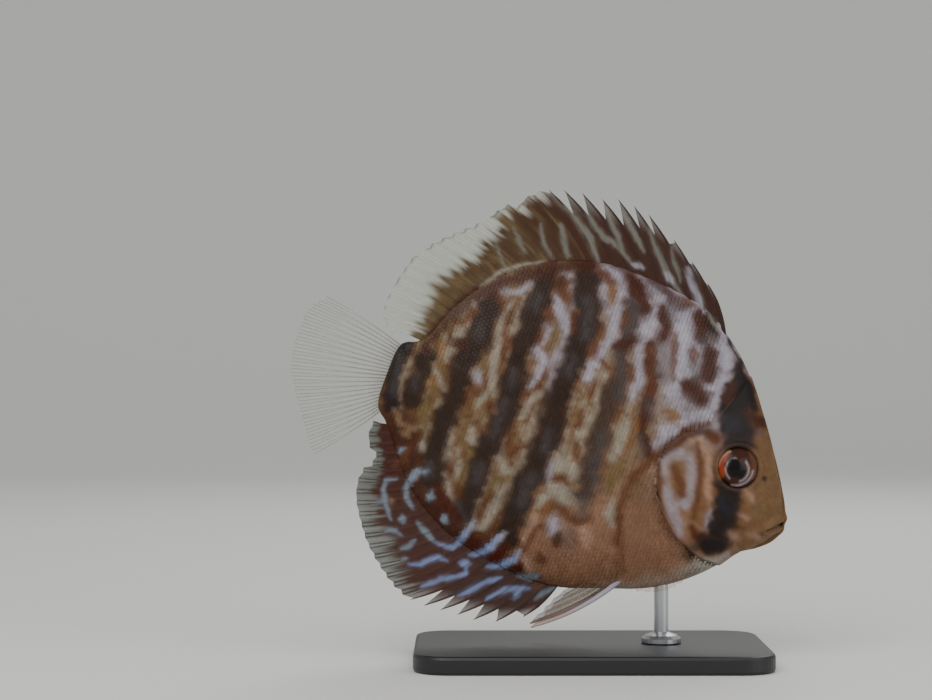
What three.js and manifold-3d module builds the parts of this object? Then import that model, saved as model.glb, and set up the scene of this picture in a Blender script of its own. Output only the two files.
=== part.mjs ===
// A discus fish swimming nose down, made as a still, life-size museum model on a plain stand.
// Lengths are millimetres. The fish is first drawn in its own frame: x runs forward from the
// root of the tail fin, z runs up its back and y points to its left. The finished fish is then
// pitched nose down and lifted over the stand, whose base is centred on the origin.
import * as THREE from 'three';
import { mergeVertices } from 'three/addons/utils/BufferGeometryUtils.js';
import Module from 'manifold-3d';

const wasm = await Module();
wasm.setup();

// Driving sizes
const pitchDown = THREE.MathUtils.degToRad(19.5);
const tailRoot = new THREE.Vector3(-49.6, 0, 71.4);
const gap = 0.3;
const finSkin = 0.6;

// The body seen from its right side, once round from the mouth over the back, the tail and the
// belly. Each point gives x, z, the half thickness of the rim and the roundness of the flank
// that meets it: a low number is a full, blunt edge and a high one a slowly thinning edge.
const outline = [
  [104.6, -1.6, 0.5, 0.5],
  [103.6, 1.8, 0.5, 0.5],
  [101.0, 6.6, 0.4, 0.5],
  [98.3, 11.0, 0.4, 0.5],
  [92.8, 19.0, 0.4, 0.52],
  [87.2, 26.3, 0.5, 0.55],
  [81.8, 32.4, 0.6, 0.6],
  [75.8, 37.3, 1.0, 0.72],
  [69.3, 41.4, 1.2, 0.85],
  [57.0, 43.9, 1.2, 0.85],
  [39.7, 44.0, 1.2, 0.85],
  [30.1, 41.0, 1.2, 0.85],
  [21.2, 36.2, 1.2, 0.85],
  [15.6, 31.0, 1.2, 0.84],
  [11.4, 25.4, 1.2, 0.82],
  [8.2, 19.6, 1.3, 0.8],
  [6.2, 14.2, 1.5, 0.78],
  [3.6, 9.9, 1.7, 0.76],
  [0.2, 8.2, 1.9, 0.75],
  [-0.7, 0.0, 2.2, 0.75],
  [-0.2, -8.2, 1.9, 0.75],
  [2.2, -10.4, 1.7, 0.76],
  [5.2, -14.0, 1.4, 0.78],
  [9.2, -19.6, 1.2, 0.8],
  [15.3, -25.7, 1.2, 0.8],
  [23.7, -30.9, 1.2, 0.8],
  [32.7, -34.0, 1.2, 0.8],
  [49.5, -36.2, 1.2, 0.78],
  [57.3, -35.4, 1.2, 0.72],
  [66.8, -32.4, 0.9, 0.62],
  [76.3, -29.2, 0.7, 0.58],
  [83.0, -25.6, 0.6, 0.55],
  [88.6, -21.2, 0.6, 0.52],
  [92.4, -17.3, 0.6, 0.5],
  [95.9, -12.9, 0.6, 0.5],
  [100.5, -9.9, 0.5, 0.5],
  [103.4, -7.2, 0.5, 0.5],
  [104.6, -4.6, 0.5, 0.5],
];
const bodyCentre = [50, 4];
const stepsPerPoint = 2;
const rings = 9;
const rimPower = 2.4;
const cornerPasses = 12;

// Half thickness the flank would have along x if the rim did not round it off
const fullness = [[0, 5.2], [25, 7.8], [50, 9.4], [75, 11], [90, 11.5], [106, 10.5]];

// Rear edge of the head, from the nape down the gill cover to the throat
const gillCoverPoints = [[84.6, 30.6], [77.9, 14.8], [73.2, 11.0], [70.2, 6.2], [69.8, 0.4],
  [71.8, -5.4], [75.6, -10.8], [80.4, -14.6], [86.0, -16.8], [93.2, -17.4]];
const gillCoverSteps = 20;
const coverLift = 0.4;
const coverReach = 8;
const stemStart = 8.5;

const eye = { x: 88.5, z: 7.4, radius: 5.5, depth: 3.6, sunk: 1.6 };
const nostril = { x: 95.9, z: 6.9, radius: 0.8 };

const lerp = THREE.MathUtils.lerp;

// A smooth path through points in x and z, read by its share of the length
function smoothPath(points) {
  const curve = new THREE.CatmullRomCurve3(
    points.map(([x, z]) => new THREE.Vector3(x, 0, z)), false, 'centripetal');
  curve.arcLengthDivisions = 400;
  return (share) => {
    const p = curve.getPointAt(share);
    return [p.x, p.z];
  };
}

const gillCoverAt = smoothPath(gillCoverPoints);
const gillCover = Array.from({ length: gillCoverSteps + 1 }, (_, i) => gillCoverAt(i / gillCoverSteps));

function between(table, x) {
  let k = 0;
  while (k < table.length - 2 && x > table[k + 1][0]) k += 1;
  const [x0, y0] = table[k];
  const [x1, y1] = table[k + 1];
  return lerp(y0, y1, THREE.MathUtils.clamp((x - x0) / (x1 - x0), 0, 1));
}

// The outline as a smooth closed run of samples
function sampleOutline() {
  const curve = new THREE.CatmullRomCurve3(
    outline.map(([x, z]) => new THREE.Vector3(x, 0, z)), true, 'centripetal');
  const count = outline.length;
  const samples = [];
  for (let i = 0; i < count * stepsPerPoint; i += 1) {
    const at = i / stepsPerPoint;
    const k = Math.floor(at);
    const next = outline[(k + 1) % count];
    const p = curve.getPoint(at / count);
    samples.push({
      x: p.x,
      z: p.z,
      rim: lerp(outline[k][2], next[2], at - k),
      round: lerp(outline[k][3], next[3], at - k),
    });
  }
  easeCorners(samples);
  return samples;
}

// The flank is rounded towards a softened outline, so that the corners of the tail root raise
// no ridges. Each sample keeps how far the true outline stands beyond the softened one.
function easeCorners(samples) {
  const count = samples.length;
  const radii = samples.map(({ x, z }) => Math.hypot(x - bodyCentre[0], z - bodyCentre[1]));
  let soft = radii;
  for (let pass = 0; pass < cornerPasses; pass += 1) {
    const last = soft;
    soft = last.map((r, i) => (last[(i + count - 1) % count] + 2 * r + last[(i + 1) % count]) / 4);
  }
  samples.forEach((sample, i) => { sample.beyond = radii[i] / soft[i]; });
}
const rimSamples = sampleOutline();

function thickness(x, ring, { rim, round, beyond }) {
  const full = Math.max(between(fullness, x), rim);
  const inside = Math.max(1 - Math.pow(ring * beyond, rimPower), 0);
  return rim + (full - rim) * Math.pow(inside, round);
}

// Half thickness of the body anywhere inside the outline
function flankAt(x, z) {
  const [cx, cz] = bodyCentre;
  for (let i = 0; i < rimSamples.length; i += 1) {
    const a = rimSamples[i];
    const b = rimSamples[(i + 1) % rimSamples.length];
    const ax = a.x - cx;
    const az = a.z - cz;
    const bx = b.x - cx;
    const bz = b.z - cz;
    const det = ax * bz - az * bx;
    const u = ((x - cx) * bz - (z - cz) * bx) / det;
    const v = (ax * (z - cz) - az * (x - cx)) / det;
    if (u >= 0 && v >= 0 && u + v > 0) {
      const share = v / (u + v);
      return thickness(x, Math.min(u + v, 1), {
        rim: lerp(a.rim, b.rim, share),
        round: lerp(a.round, b.round, share),
        beyond: lerp(a.beyond, b.beyond, share),
      });
    }
  }
  return between(fullness, x);
}

function distanceToPath(path, x, z) {
  let best = Infinity;
  for (let i = 0; i < path.length - 1; i += 1) {
    const [ax, az] = path[i];
    const dx = path[i + 1][0] - ax;
    const dz = path[i + 1][1] - az;
    const t = THREE.MathUtils.clamp(((x - ax) * dx + (z - az) * dz) / (dx * dx + dz * dz), 0, 1);
    best = Math.min(best, Math.hypot(x - ax - t * dx, z - az - t * dz));
  }
  return best;
}

// Solids are closed sets of triangles; this keeps only positions and shares the corners
function solid(geometry) {
  const bare = new THREE.BufferGeometry();
  bare.setAttribute('position', geometry.attributes.position);
  if (geometry.index) bare.setIndex(geometry.index);
  const merged = mergeVertices(bare, 1e-5);
  return new wasm.Manifold(new wasm.Mesh({
    numProp: 3,
    vertProperties: new Float32Array(merged.attributes.position.array),
    triVerts: new Uint32Array(merged.index.array),
  }));
}

function volumeOf(points, triangles) {
  let six = 0;
  for (const [a, b, c] of triangles) {
    const [ax, ay, az] = points[a];
    const [bx, by, bz] = points[b];
    const [cx, cy, cz] = points[c];
    six += ax * (by * cz - bz * cy) + ay * (bz * cx - bx * cz) + az * (bx * cy - by * cx);
  }
  return six / 6;
}

// A solid from shared points, turned so that its faces look outward
function closedSolid(points, triangles) {
  const outward = volumeOf(points, triangles) > 0;
  const geometry = new THREE.BufferGeometry();
  geometry.setAttribute('position', new THREE.BufferAttribute(new Float32Array(points.flat()), 3));
  geometry.setIndex(triangles.flatMap(([a, b, c]) => (outward ? [a, b, c] : [a, c, b])));
  return solid(geometry);
}

// The whole body as rings drawn from its centre out to the rim, the same on both flanks.
// It can be grown to cut room for the parts that grow from it, or lifted along the gill cover.
function body(grow, lift) {
  const [cx, cz] = bodyCentre;
  const count = rimSamples.length;
  const points = [];
  const triangles = [];
  const halfAt = (x, z, ring, sample) => {
    const raised = lift * Math.max(0, 1 - distanceToPath(gillCover, x, z) / coverReach);
    return thickness(x, ring, sample) + grow + raised * (1 - ring ** 4);
  };
  const grown = rimSamples.map((sample, i) => {
    const before = rimSamples[(i + count - 1) % count];
    const after = rimSamples[(i + 1) % count];
    const across = new THREE.Vector2(after.z - before.z, before.x - after.x).normalize();
    const outwards = across.x * (sample.x - cx) + across.y * (sample.z - cz) > 0 ? grow : -grow;
    return [sample.x + across.x * outwards, sample.z + across.y * outwards];
  });
  for (const side of [1, -1]) {
    points.push([cx, side * halfAt(cx, cz, 0, rimSamples[0]), cz]);
    for (let r = 1; r <= rings; r += 1) {
      const ring = Math.sin((Math.PI / 2) * (r / rings));
      for (let i = 0; i < count; i += 1) {
        const x = lerp(cx, grown[i][0], ring);
        const z = lerp(cz, grown[i][1], ring);
        points.push([x, side * halfAt(x, z, ring, rimSamples[i]), z]);
      }
    }
  }
  const perSide = 1 + rings * count;
  const index = (side, r, i) => side * perSide + 1 + (r - 1) * count + (i % count);
  for (let i = 0; i < count; i += 1) {
    triangles.push([0, index(0, 1, i), index(0, 1, i + 1)]);
    triangles.push([perSide, index(1, 1, i + 1), index(1, 1, i)]);
    for (let r = 1; r < rings; r += 1) {
      triangles.push([index(0, r, i), index(0, r + 1, i), index(0, r + 1, i + 1)]);
      triangles.push([index(0, r, i), index(0, r + 1, i + 1), index(0, r, i + 1)]);
      triangles.push([index(1, r, i), index(1, r + 1, i + 1), index(1, r + 1, i)]);
      triangles.push([index(1, r, i), index(1, r, i + 1), index(1, r + 1, i + 1)]);
    }
    triangles.push([index(0, rings, i), index(1, rings, i), index(1, rings, i + 1)]);
    triangles.push([index(0, rings, i), index(1, rings, i + 1), index(0, rings, i + 1)]);
  }
  return closedSolid(points, triangles);
}

// A slab through the whole fish over a flat figure drawn in x and z
function slab(figure, halfDepth) {
  const shape = new THREE.Shape(figure.map(([x, z]) => new THREE.Vector2(x, z)));
  const geometry = new THREE.ExtrudeGeometry(shape, { depth: 2 * halfDepth, bevelEnabled: false });
  geometry.rotateX(Math.PI / 2);
  geometry.translate(0, halfDepth, 0);
  return solid(geometry);
}

function shiftedPath(path, shift) {
  return path.map(([x, z], i) => {
    const [ax, az] = path[Math.max(i - 1, 0)];
    const [bx, bz] = path[Math.min(i + 1, path.length - 1)];
    const length = Math.hypot(bx - ax, bz - az);
    return [x + ((az - bz) / length) * -shift, z + ((bx - ax) / length) * -shift];
  });
}

// The figure that holds the head: its rear edge is the gill cover, moved back by a shift
function headFigure(shift) {
  const edge = shiftedPath(gillCover, shift);
  const [topX, topZ] = edge[0];
  const [lowX, lowZ] = edge[edge.length - 1];
  return [[topX + 12, topZ + 28], ...edge, [lowX + 1.2, lowZ - 14], [125, lowZ - 14], [125, topZ + 28]];
}

// Fins
// A ray runs from its root to its tip with a bow, given as a share of its length
function ray(root, tip, bow, kind = 'soft') {
  const from = new THREE.Vector2(...root);
  const to = new THREE.Vector2(...tip);
  const along = to.clone().sub(from);
  const control = from.clone().lerp(to, 0.5).add(new THREE.Vector2(along.y, -along.x).multiplyScalar(bow));
  const length = along.length();
  return {
    kind,
    length,
    at(t) {
      const s = Math.max(t, 0);
      const p = from.clone().multiplyScalar((1 - s) ** 2);
      p.addScaledVector(control, 2 * s * (1 - s));
      p.addScaledVector(to, s * s);
      if (t < 0) p.addScaledVector(control.clone().sub(from), 2 * t);
      return p;
    },
    side(t) {
      const ahead = this.at(t + 0.01).sub(this.at(t - 0.01)).normalize();
      return new THREE.Vector2(-ahead.y, ahead.x);
    },
  };
}

const rayShapes = {
  spine: { width: 1.3, ridge: 0.5, front: 0.62, rear: 0.96 },
  soft: { width: 0.9, ridge: 0.3, front: 0.995, rear: 0.995 },
  stout: { width: 1.2, ridge: 0.7, front: 0.995, rear: 0.97 },
  fine: { width: 0, ridge: 0.3 },
};
const finRows = [0, 0.05, 0.26, 0.5, 0.76, 1];

// The columns of a fin run along its rays: the foot, the crest and the foot of each ray, with
// the middle of the membrane between two spines. A fine ray is a crest alone, with the middle
// of the membrane before the next.
function finColumns(rays, { sunk, sheath, sway }) {
  const columns = [];
  const column = (one, offset, reach, ridge) => finRows.map((row) => {
    const t = row === 0 ? -sunk / one.length : row * reach;
    const taper = 1 - 0.65 * Math.max(t, 0);
    const p = one.at(t).addScaledVector(one.side(t), offset * taper);
    const base = sheath * Math.exp(-Math.max(t, 0) * one.length / 2.5);
    return { x: p.x, z: p.y, t: Math.max(t, 0), half: finSkin / 2 + base + (ridge / 2) * taper };
  });
  const turn = Math.sign(rays[0].side(0).dot(rays[1].at(0).sub(rays[0].at(0))));
  const middle = (mine, theirs) => mine.map((p, row) => {
    const q = theirs[row];
    return { x: (p.x + q.x) / 2, z: (p.z + q.z) / 2, t: (p.t + q.t) / 2, half: (p.half + q.half) / 2 };
  });
  rays.forEach((one, i) => {
    const { width, ridge, front, rear } = rayShapes[one.kind];
    const next = rays[i + 1];
    if (one.kind === 'fine') {
      columns.push(column(one, 0, 1, ridge));
      if (next) columns.push(middle(column(one, 0, 1, 0), column(next, 0, 1, 0)));
      return;
    }
    columns.push(column(one, (-turn * width) / 2, front, 0));
    columns.push(column(one, 0, 1, ridge));
    columns.push(column(one, (turn * width) / 2, rear, 0));
    if (next && one.kind === 'spine') {
      const shape = rayShapes[next.kind];
      const ahead = column(next, (-turn * shape.width) / 2, shape.front, 0);
      columns.push(middle(columns[columns.length - 1], ahead));
    }
  });
  return columns.map((points, i) => points.map((p) => ({ ...p, y: sway(p.t, i / (columns.length - 1)) })));
}

function finSolid(columns) {
  const across = columns.length;
  const rows = columns[0].length;
  const points = [];
  for (const side of [1, -1]) {
    for (const column of columns) {
      for (const p of column) points.push([p.x, p.y + side * p.half, p.z]);
    }
  }
  const index = (side, i, j) => side * across * rows + i * rows + j;
  const triangles = [];
  for (let i = 0; i < across - 1; i += 1) {
    for (let j = 0; j < rows - 1; j += 1) {
      triangles.push([index(0, i, j), index(0, i + 1, j), index(0, i + 1, j + 1)]);
      triangles.push([index(0, i, j), index(0, i + 1, j + 1), index(0, i, j + 1)]);
      triangles.push([index(1, i, j), index(1, i + 1, j + 1), index(1, i + 1, j)]);
      triangles.push([index(1, i, j), index(1, i, j + 1), index(1, i + 1, j + 1)]);
    }
  }
  const wall = (a, b) => {
    triangles.push([index(0, ...b), index(0, ...a), index(1, ...a)]);
    triangles.push([index(0, ...b), index(1, ...a), index(1, ...b)]);
  };
  for (let i = 0; i < across - 1; i += 1) {
    wall([i, 0], [i + 1, 0]);
    wall([i + 1, rows - 1], [i, rows - 1]);
  }
  for (let j = 0; j < rows - 1; j += 1) {
    wall([0, j + 1], [0, j]);
    wall([across - 1, j], [across - 1, j + 1]);
  }
  return closedSolid(points, triangles);
}

// Rays whose roots are evenly spread along one path and whose tips are spread along another
function fan(roots, tips, from, to, count, bow, skipFirst) {
  const rootAt = smoothPath(roots);
  const tipAt = smoothPath(tips);
  const rays = [];
  for (let i = skipFirst ? 1 : 0; i < count; i += 1) {
    const share = i / (count - 1);
    rays.push(ray(rootAt(lerp(from, to, share)), tipAt(share), bow(share)));
  }
  return rays;
}

const backBase = outline.slice(7, 18).map(([x, z]) => [x, z]);
const ventBase = outline.slice(21, 29).map(([x, z]) => [x, z]).reverse();

function spines(baseAt, tips, shares, bow) {
  return tips.map((tip, i) => ray(baseAt(shares(i / (tips.length - 1))), tip, bow, 'spine'));
}

const backSpineTips = [[66.9, 48.2], [61.3, 52.0], [55.2, 55.7], [47.2, 59.5], [42.9, 60.4],
  [38.6, 60.7], [34.8, 59.4], [29.6, 59.1], [25.1, 58.3], [21.5, 57.1]];
const backMargin = [[21.5, 57.1], [17.2, 54.0], [15.4, 50.4], [12.5, 49.6], [9.0, 44.4], [2.0, 37.9],
  [-1.9, 33.9], [-5.1, 29.3], [-6.5, 24.3], [-7.5, 19.7], [-7.6, 14.6], [-5.6, 11.6]];
const ventSpineTips = [[51.1, -46.0], [44.9, -49.5], [39.5, -50.9], [35.3, -51.0], [30.9, -51.3],
  [26.6, -51.7], [23.0, -51.4]];
const ventMargin = [[23.0, -51.4], [17.3, -48.9], [11.2, -44.4], [7.6, -40.9], [4.5, -36.7],
  [1.9, -32.3], [0.8, -28.7], [0.9, -24.9], [3.4, -20.6], [0.6, -18.4], [-0.7, -15.4], [-0.6, -12.8]];
const tailBase = [[1.6, 7.2], [1.2, 0], [1.4, -7.2]];
const tailMargin = [[-22.3, 12.8], [-25.4, 8.6], [-26.0, 3.0], [-25.6, -2.1], [-24.4, -7.0],
  [-21.1, -12.5], [-17.3, -17.8], [-14.5, -22.1], [-12.3, -24.6]];

function dorsalFin() {
  const baseAt = smoothPath(backBase);
  const stiff = spines(baseAt, backSpineTips, (s) => lerp(0.02, 0.42, s), 0.11);
  const soft = fan(backBase, backMargin, 0.42, 0.985, 20, (s) => lerp(0.11, 0.02, s), true);
  const sway = (t, share) => 0.8 * t * t * share * Math.sin(9 * share);
  return finSolid(finColumns([...stiff, ...soft], { sunk: 2.6, sheath: 0.25, sway }));
}

function analFin() {
  const baseAt = smoothPath(ventBase);
  const stiff = spines(baseAt, ventSpineTips, (s) => lerp(0.02, 0.3, s), -0.11);
  const soft = fan(ventBase, ventMargin, 0.3, 0.97, 19, (s) => lerp(-0.11, -0.02, s), true);
  const sway = (t, share) => -0.7 * t * t * share * Math.sin(9 * share);
  return finSolid(finColumns([...stiff, ...soft], { sunk: 2.6, sheath: 0.25, sway }));
}

function caudalFin() {
  const rays = fan(tailBase, tailMargin, 0, 1, 14, (s) => lerp(0.06, -0.06, s), false);
  const sway = (t, share) => 0.8 * t * t * Math.sin(5 * share);
  return finSolid(finColumns(rays, { sunk: 1.5, sheath: 0.5, sway }));
}

// The pectoral fins hang beside the body, root on the flank just behind the gill cover
const pectoral = {
  base: [[69.2, 0.7], [69.6, -2.2], [70.4, -5.2]],
  margin: [[70.6, -29.2], [75.0, -29.0], [79.6, -27.4], [83.2, -24.4], [85.3, -20.1]],
  rearBow: 0.27,
  frontBow: -0.06,
  sunk: 1.2,
  inset: 0.6,
  spread: 6.5,
};

function pectoralFin(side) {
  const { base, margin, frontBow, rearBow, sunk, inset, spread } = pectoral;
  const rays = fan(base, margin, 0, 1, 10, (s) => lerp(rearBow, frontBow, s), false);
  rays.forEach((one) => { one.kind = 'fine'; });
  const start = flankAt(base[1][0], base[1][1]) - inset;
  const sway = (t, share) => side * (start + spread * t + 0.7 * t * Math.sin(4 * share));
  return finSolid(finColumns(rays, { sunk, sheath: 0.4, sway }));
}

// The pelvic fins are folded back under the belly, each led by one long stout ray
const pelvic = {
  base: [[70.2, -29.6], [68.8, -28.1], [67.6, -26.7]],
  margin: [[53.4, -47.3], [54.3, -45.1], [55.5, -42.6], [56.7, -40.0], [58.4, -37.3]],
  apart: 3.1,
  spread: 1.2,
};

function pelvicFin(side) {
  const { base, margin, apart, spread } = pelvic;
  const rays = fan(base, margin, 0, 1, 5, (s) => lerp(-0.11, 0, s), false);
  rays.forEach((one, i) => { one.kind = i === 0 ? 'stout' : 'fine'; });
  const sway = (t) => side * (apart + spread * t);
  return finSolid(finColumns(rays, { sunk: 2.2, sheath: 0.3, sway }));
}

// Eyes: a flattened ball set square to the flank, in a socket with room round it
function eyeBall(side, grow) {
  const step = 1.5;
  const { x, z, radius, depth, sunk } = eye;
  const slopeX = (flankAt(x + step, z) - flankAt(x - step, z)) / (2 * step);
  const slopeZ = (flankAt(x, z + step) - flankAt(x, z - step)) / (2 * step);
  const outwards = new THREE.Vector3(-slopeX, side, -slopeZ).normalize();
  const ball = new THREE.SphereGeometry(1, 18, 12);
  ball.scale(radius + grow, depth + grow, radius + grow);
  ball.applyQuaternion(new THREE.Quaternion().setFromUnitVectors(new THREE.Vector3(0, 1, 0), outwards));
  const seat = new THREE.Vector3(x, side * flankAt(x, z), z).addScaledVector(outwards, -sunk);
  ball.translate(seat.x, seat.y, seat.z);
  return { body: solid(ball), outwards, seat };
}

function eyeRim(side) {
  const { outwards, seat } = eyeBall(side, 0);
  const rim = new THREE.TorusGeometry(eye.radius + 0.2, 0.7, 6, 24);
  rim.applyQuaternion(new THREE.Quaternion().setFromUnitVectors(new THREE.Vector3(0, 0, 1), outwards));
  const centre = seat.clone().addScaledVector(outwards, eye.sunk - 0.35);
  rim.translate(centre.x, centre.y, centre.z);
  return solid(rim);
}

// Lips: two rounded rolls that run round the front of the snout and meet at the mouth corners
const mouth = { front: [104.1, -2.3], corner: [100.4, -5.2], width: 4.2, part: 1.35, lip: 1.25 };
const lipSteps = 14;
const lipSides = 8;

function lipRoll(rise) {
  const [frontX, frontZ] = mouth.front;
  const [cornerX, cornerZ] = mouth.corner;
  const cheek = [lerp(cornerX, frontX, 0.62), mouth.width * 0.82, lerp(cornerZ, frontZ, 0.62) + 0.8 * rise];
  const path = new THREE.CatmullRomCurve3([
    new THREE.Vector3(cornerX, -mouth.width, cornerZ),
    new THREE.Vector3(cheek[0], -cheek[1], cheek[2]),
    new THREE.Vector3(frontX, 0, frontZ + rise),
    new THREE.Vector3(...cheek),
    new THREE.Vector3(cornerX, mouth.width, cornerZ),
  ]);
  const frames = path.computeFrenetFrames(lipSteps, false);
  const points = [path.getPointAt(0).toArray()];
  for (let i = 1; i < lipSteps; i += 1) {
    const centre = path.getPointAt(i / lipSteps);
    const radius = mouth.lip * Math.sin((Math.PI * i) / lipSteps) ** 0.5;
    for (let k = 0; k < lipSides; k += 1) {
      const turn = (2 * Math.PI * k) / lipSides;
      const p = centre.clone().addScaledVector(frames.normals[i], radius * Math.cos(turn));
      points.push(p.addScaledVector(frames.binormals[i], radius * Math.sin(turn)).toArray());
    }
  }
  points.push(path.getPointAt(1).toArray());
  const last = points.length - 1;
  const index = (i, k) => 1 + (i - 1) * lipSides + (k % lipSides);
  const triangles = [];
  for (let k = 0; k < lipSides; k += 1) {
    triangles.push([0, index(1, k), index(1, k + 1)]);
    triangles.push([last, index(lipSteps - 1, k + 1), index(lipSteps - 1, k)]);
    for (let i = 1; i < lipSteps - 1; i += 1) {
      triangles.push([index(i, k), index(i + 1, k), index(i + 1, k + 1)]);
      triangles.push([index(i, k), index(i + 1, k + 1), index(i, k + 1)]);
    }
  }
  return closedSolid(points, triangles);
}

function headSolid() {
  let head = body(0, coverLift).intersect(slab(headFigure(-gap / 2), 40));
  head = head.add(lipRoll(mouth.part)).add(lipRoll(-mouth.part));
  for (const side of [1, -1]) {
    head = head.add(eyeRim(side));
    head = head.subtract(eyeBall(side, gap).body);
    const pit = new THREE.SphereGeometry(nostril.radius, 10, 8);
    pit.translate(nostril.x, side * flankAt(nostril.x, nostril.z), nostril.z);
    head = head.subtract(solid(pit));
  }
  return head;
}

// Stand
const stand = {
  baseLength: 88,
  baseWidth: 56,
  baseHeight: 4.5,
  corner: 8,
  bevel: 0.8,
  rodX: 17.8,
  rodRadius: 1.8,
  rodTop: 30,
};

function standBase() {
  const { baseLength, baseWidth, baseHeight, corner, bevel } = stand;
  const halfX = baseLength / 2 - bevel;
  const halfY = baseWidth / 2 - bevel;
  const shape = new THREE.Shape();
  shape.moveTo(-halfX + corner, -halfY);
  shape.lineTo(halfX - corner, -halfY);
  shape.absarc(halfX - corner, -halfY + corner, corner, -Math.PI / 2, 0);
  shape.absarc(halfX - corner, halfY - corner, corner, 0, Math.PI / 2);
  shape.absarc(-halfX + corner, halfY - corner, corner, Math.PI / 2, Math.PI);
  shape.absarc(-halfX + corner, -halfY + corner, corner, Math.PI, 1.5 * Math.PI);
  const geometry = new THREE.ExtrudeGeometry(shape, {
    depth: baseHeight - 2 * bevel,
    bevelEnabled: true,
    bevelThickness: bevel,
    bevelSize: bevel,
    bevelSegments: 2,
    curveSegments: 6,
  });
  geometry.translate(0, 0, bevel);
  return solid(geometry);
}

function standRod(fishBody) {
  const foot = stand.baseHeight + gap;
  const profile = [[0, foot], [5, foot], [5, foot + 1], [4, foot + 1.8], [stand.rodRadius, foot + 2.6],
    [stand.rodRadius, stand.rodTop], [0, stand.rodTop]];
  const geometry = new THREE.LatheGeometry(profile.map(([r, z]) => new THREE.Vector2(r, z)), 24);
  geometry.rotateX(Math.PI / 2);
  geometry.translate(stand.rodX, 0, 0);
  return solid(geometry).subtract(fishBody);
}

// The largest closed surface of a solid, as a mesh with its own finish
function largest(shape) {
  let best = null;
  let bestSize = -1;
  for (const piece of shape.decompose()) {
    const size = Math.abs(piece.volume());
    if (size > bestSize) {
      best = piece;
      bestSize = size;
    }
  }
  return best;
}

const part = new THREE.Group();
part.name = 'discus_fish';

function addPart(name, shape, finish) {
  const mesh = largest(shape).getMesh();
  const geometry = new THREE.BufferGeometry();
  geometry.setAttribute('position', new THREE.BufferAttribute(new Float32Array(mesh.vertProperties), 3));
  geometry.setIndex(new THREE.BufferAttribute(new Uint32Array(mesh.triVerts), 1));
  const node = new THREE.Mesh(geometry, new THREE.MeshStandardMaterial(finish));
  node.name = name;
  part.add(node);
}

// Turns the fish from its own frame into its pose over the stand
const pose = new THREE.Matrix4().makeRotationY(pitchDown).setPosition(tailRoot);
const posed = (shape) => shape.transform(pose.elements);

const wholeBody = body(0, 0);
const bodyRoom = body(gap, 0);
const onBody = (fin) => posed(fin.subtract(bodyRoom));

const headRoom = slab(headFigure(gap / 2), 40);
const stemFigure = (x) => [[-20, -60], [x, -60], [x, 70], [-20, 70]];
const torso = wholeBody.subtract(headRoom).subtract(slab(stemFigure(stemStart + gap / 2), 40));
const tailStem = wholeBody.intersect(slab(stemFigure(stemStart - gap / 2), 40));

const skinFinish = { roughness: 0.45, metalness: 0 };
addPart('head', posed(headSolid()), { color: '#b0713f', ...skinFinish });
addPart('torso', posed(torso), { color: '#8d6f5a', ...skinFinish });
addPart('tail_stem', posed(tailStem), { color: '#3f312a', ...skinFinish });
addPart('dorsal_fin', onBody(dorsalFin()), { color: '#7d5b47', roughness: 0.5, metalness: 0 });
addPart('anal_fin', onBody(analFin()), { color: '#7a3f30', roughness: 0.5, metalness: 0 });
addPart('caudal_fin', onBody(caudalFin()), { color: '#c9c2b6', roughness: 0.5, metalness: 0 });
for (const [side, word] of [[-1, 'right'], [1, 'left']]) {
  addPart(`eye_${word}`, posed(eyeBall(side, 0).body), { color: '#5a2a1c', roughness: 0.15, metalness: 0 });
  addPart(`pectoral_fin_${word}`, onBody(pectoralFin(side)), { color: '#b99a80', roughness: 0.5, metalness: 0 });
  addPart(`pelvic_fin_${word}`, onBody(pelvicFin(side)), { color: '#c6bccb', roughness: 0.5, metalness: 0 });
}
addPart('stand_base', standBase(), { color: '#2d2d2f', roughness: 0.6, metalness: 0 });
addPart('stand_rod', standRod(posed(bodyRoom)), { color: '#b8bbbf', roughness: 0.3, metalness: 1 });

export default part;
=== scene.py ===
"""Discus fish swimming nose down, a still, life-size museum model on a plain stand.

The fish is drawn in its own frame in millimetres: x runs forward from the root of the tail
fin, z up the back and y to its left. `posed` turns it nose down and gives metres. The outline,
the fins' roots and tips and the eye repeat the sizes of the CAD part, so each piece stands
where the solid it replaces stands.
"""
import math

import bpy
import numpy as np
from mathutils import Matrix, Vector


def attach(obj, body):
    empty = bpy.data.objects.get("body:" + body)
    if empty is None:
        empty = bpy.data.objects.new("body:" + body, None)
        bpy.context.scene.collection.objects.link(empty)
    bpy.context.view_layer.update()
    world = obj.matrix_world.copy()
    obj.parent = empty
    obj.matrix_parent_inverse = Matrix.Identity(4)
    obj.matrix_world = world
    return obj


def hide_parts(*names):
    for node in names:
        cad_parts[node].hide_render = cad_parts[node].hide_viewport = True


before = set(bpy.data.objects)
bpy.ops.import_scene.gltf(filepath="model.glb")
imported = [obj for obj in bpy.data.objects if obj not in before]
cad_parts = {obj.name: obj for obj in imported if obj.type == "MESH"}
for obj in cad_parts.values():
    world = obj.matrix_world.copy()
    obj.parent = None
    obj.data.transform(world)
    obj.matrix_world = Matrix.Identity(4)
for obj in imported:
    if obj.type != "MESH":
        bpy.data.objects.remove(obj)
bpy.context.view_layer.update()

bl_info = {
    "name": "Discus fish model",
    "version": (1, 0, 0),
    "blender": (4, 5, 0),
    "location": "3D View > Sidebar > Discus",
    "description": "Builds the skin, scales, fins and eyes of a discus fish over its solid frame",
    "category": "Add Mesh",
}

MM = 0.001
TINY = 1e-9

# Pose: the fish is pitched nose down and its tail root is lifted over the stand
PITCH_DOWN = math.radians(19.5)
TAIL_ROOT = (-49.6, 0.0, 71.4)

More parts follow.
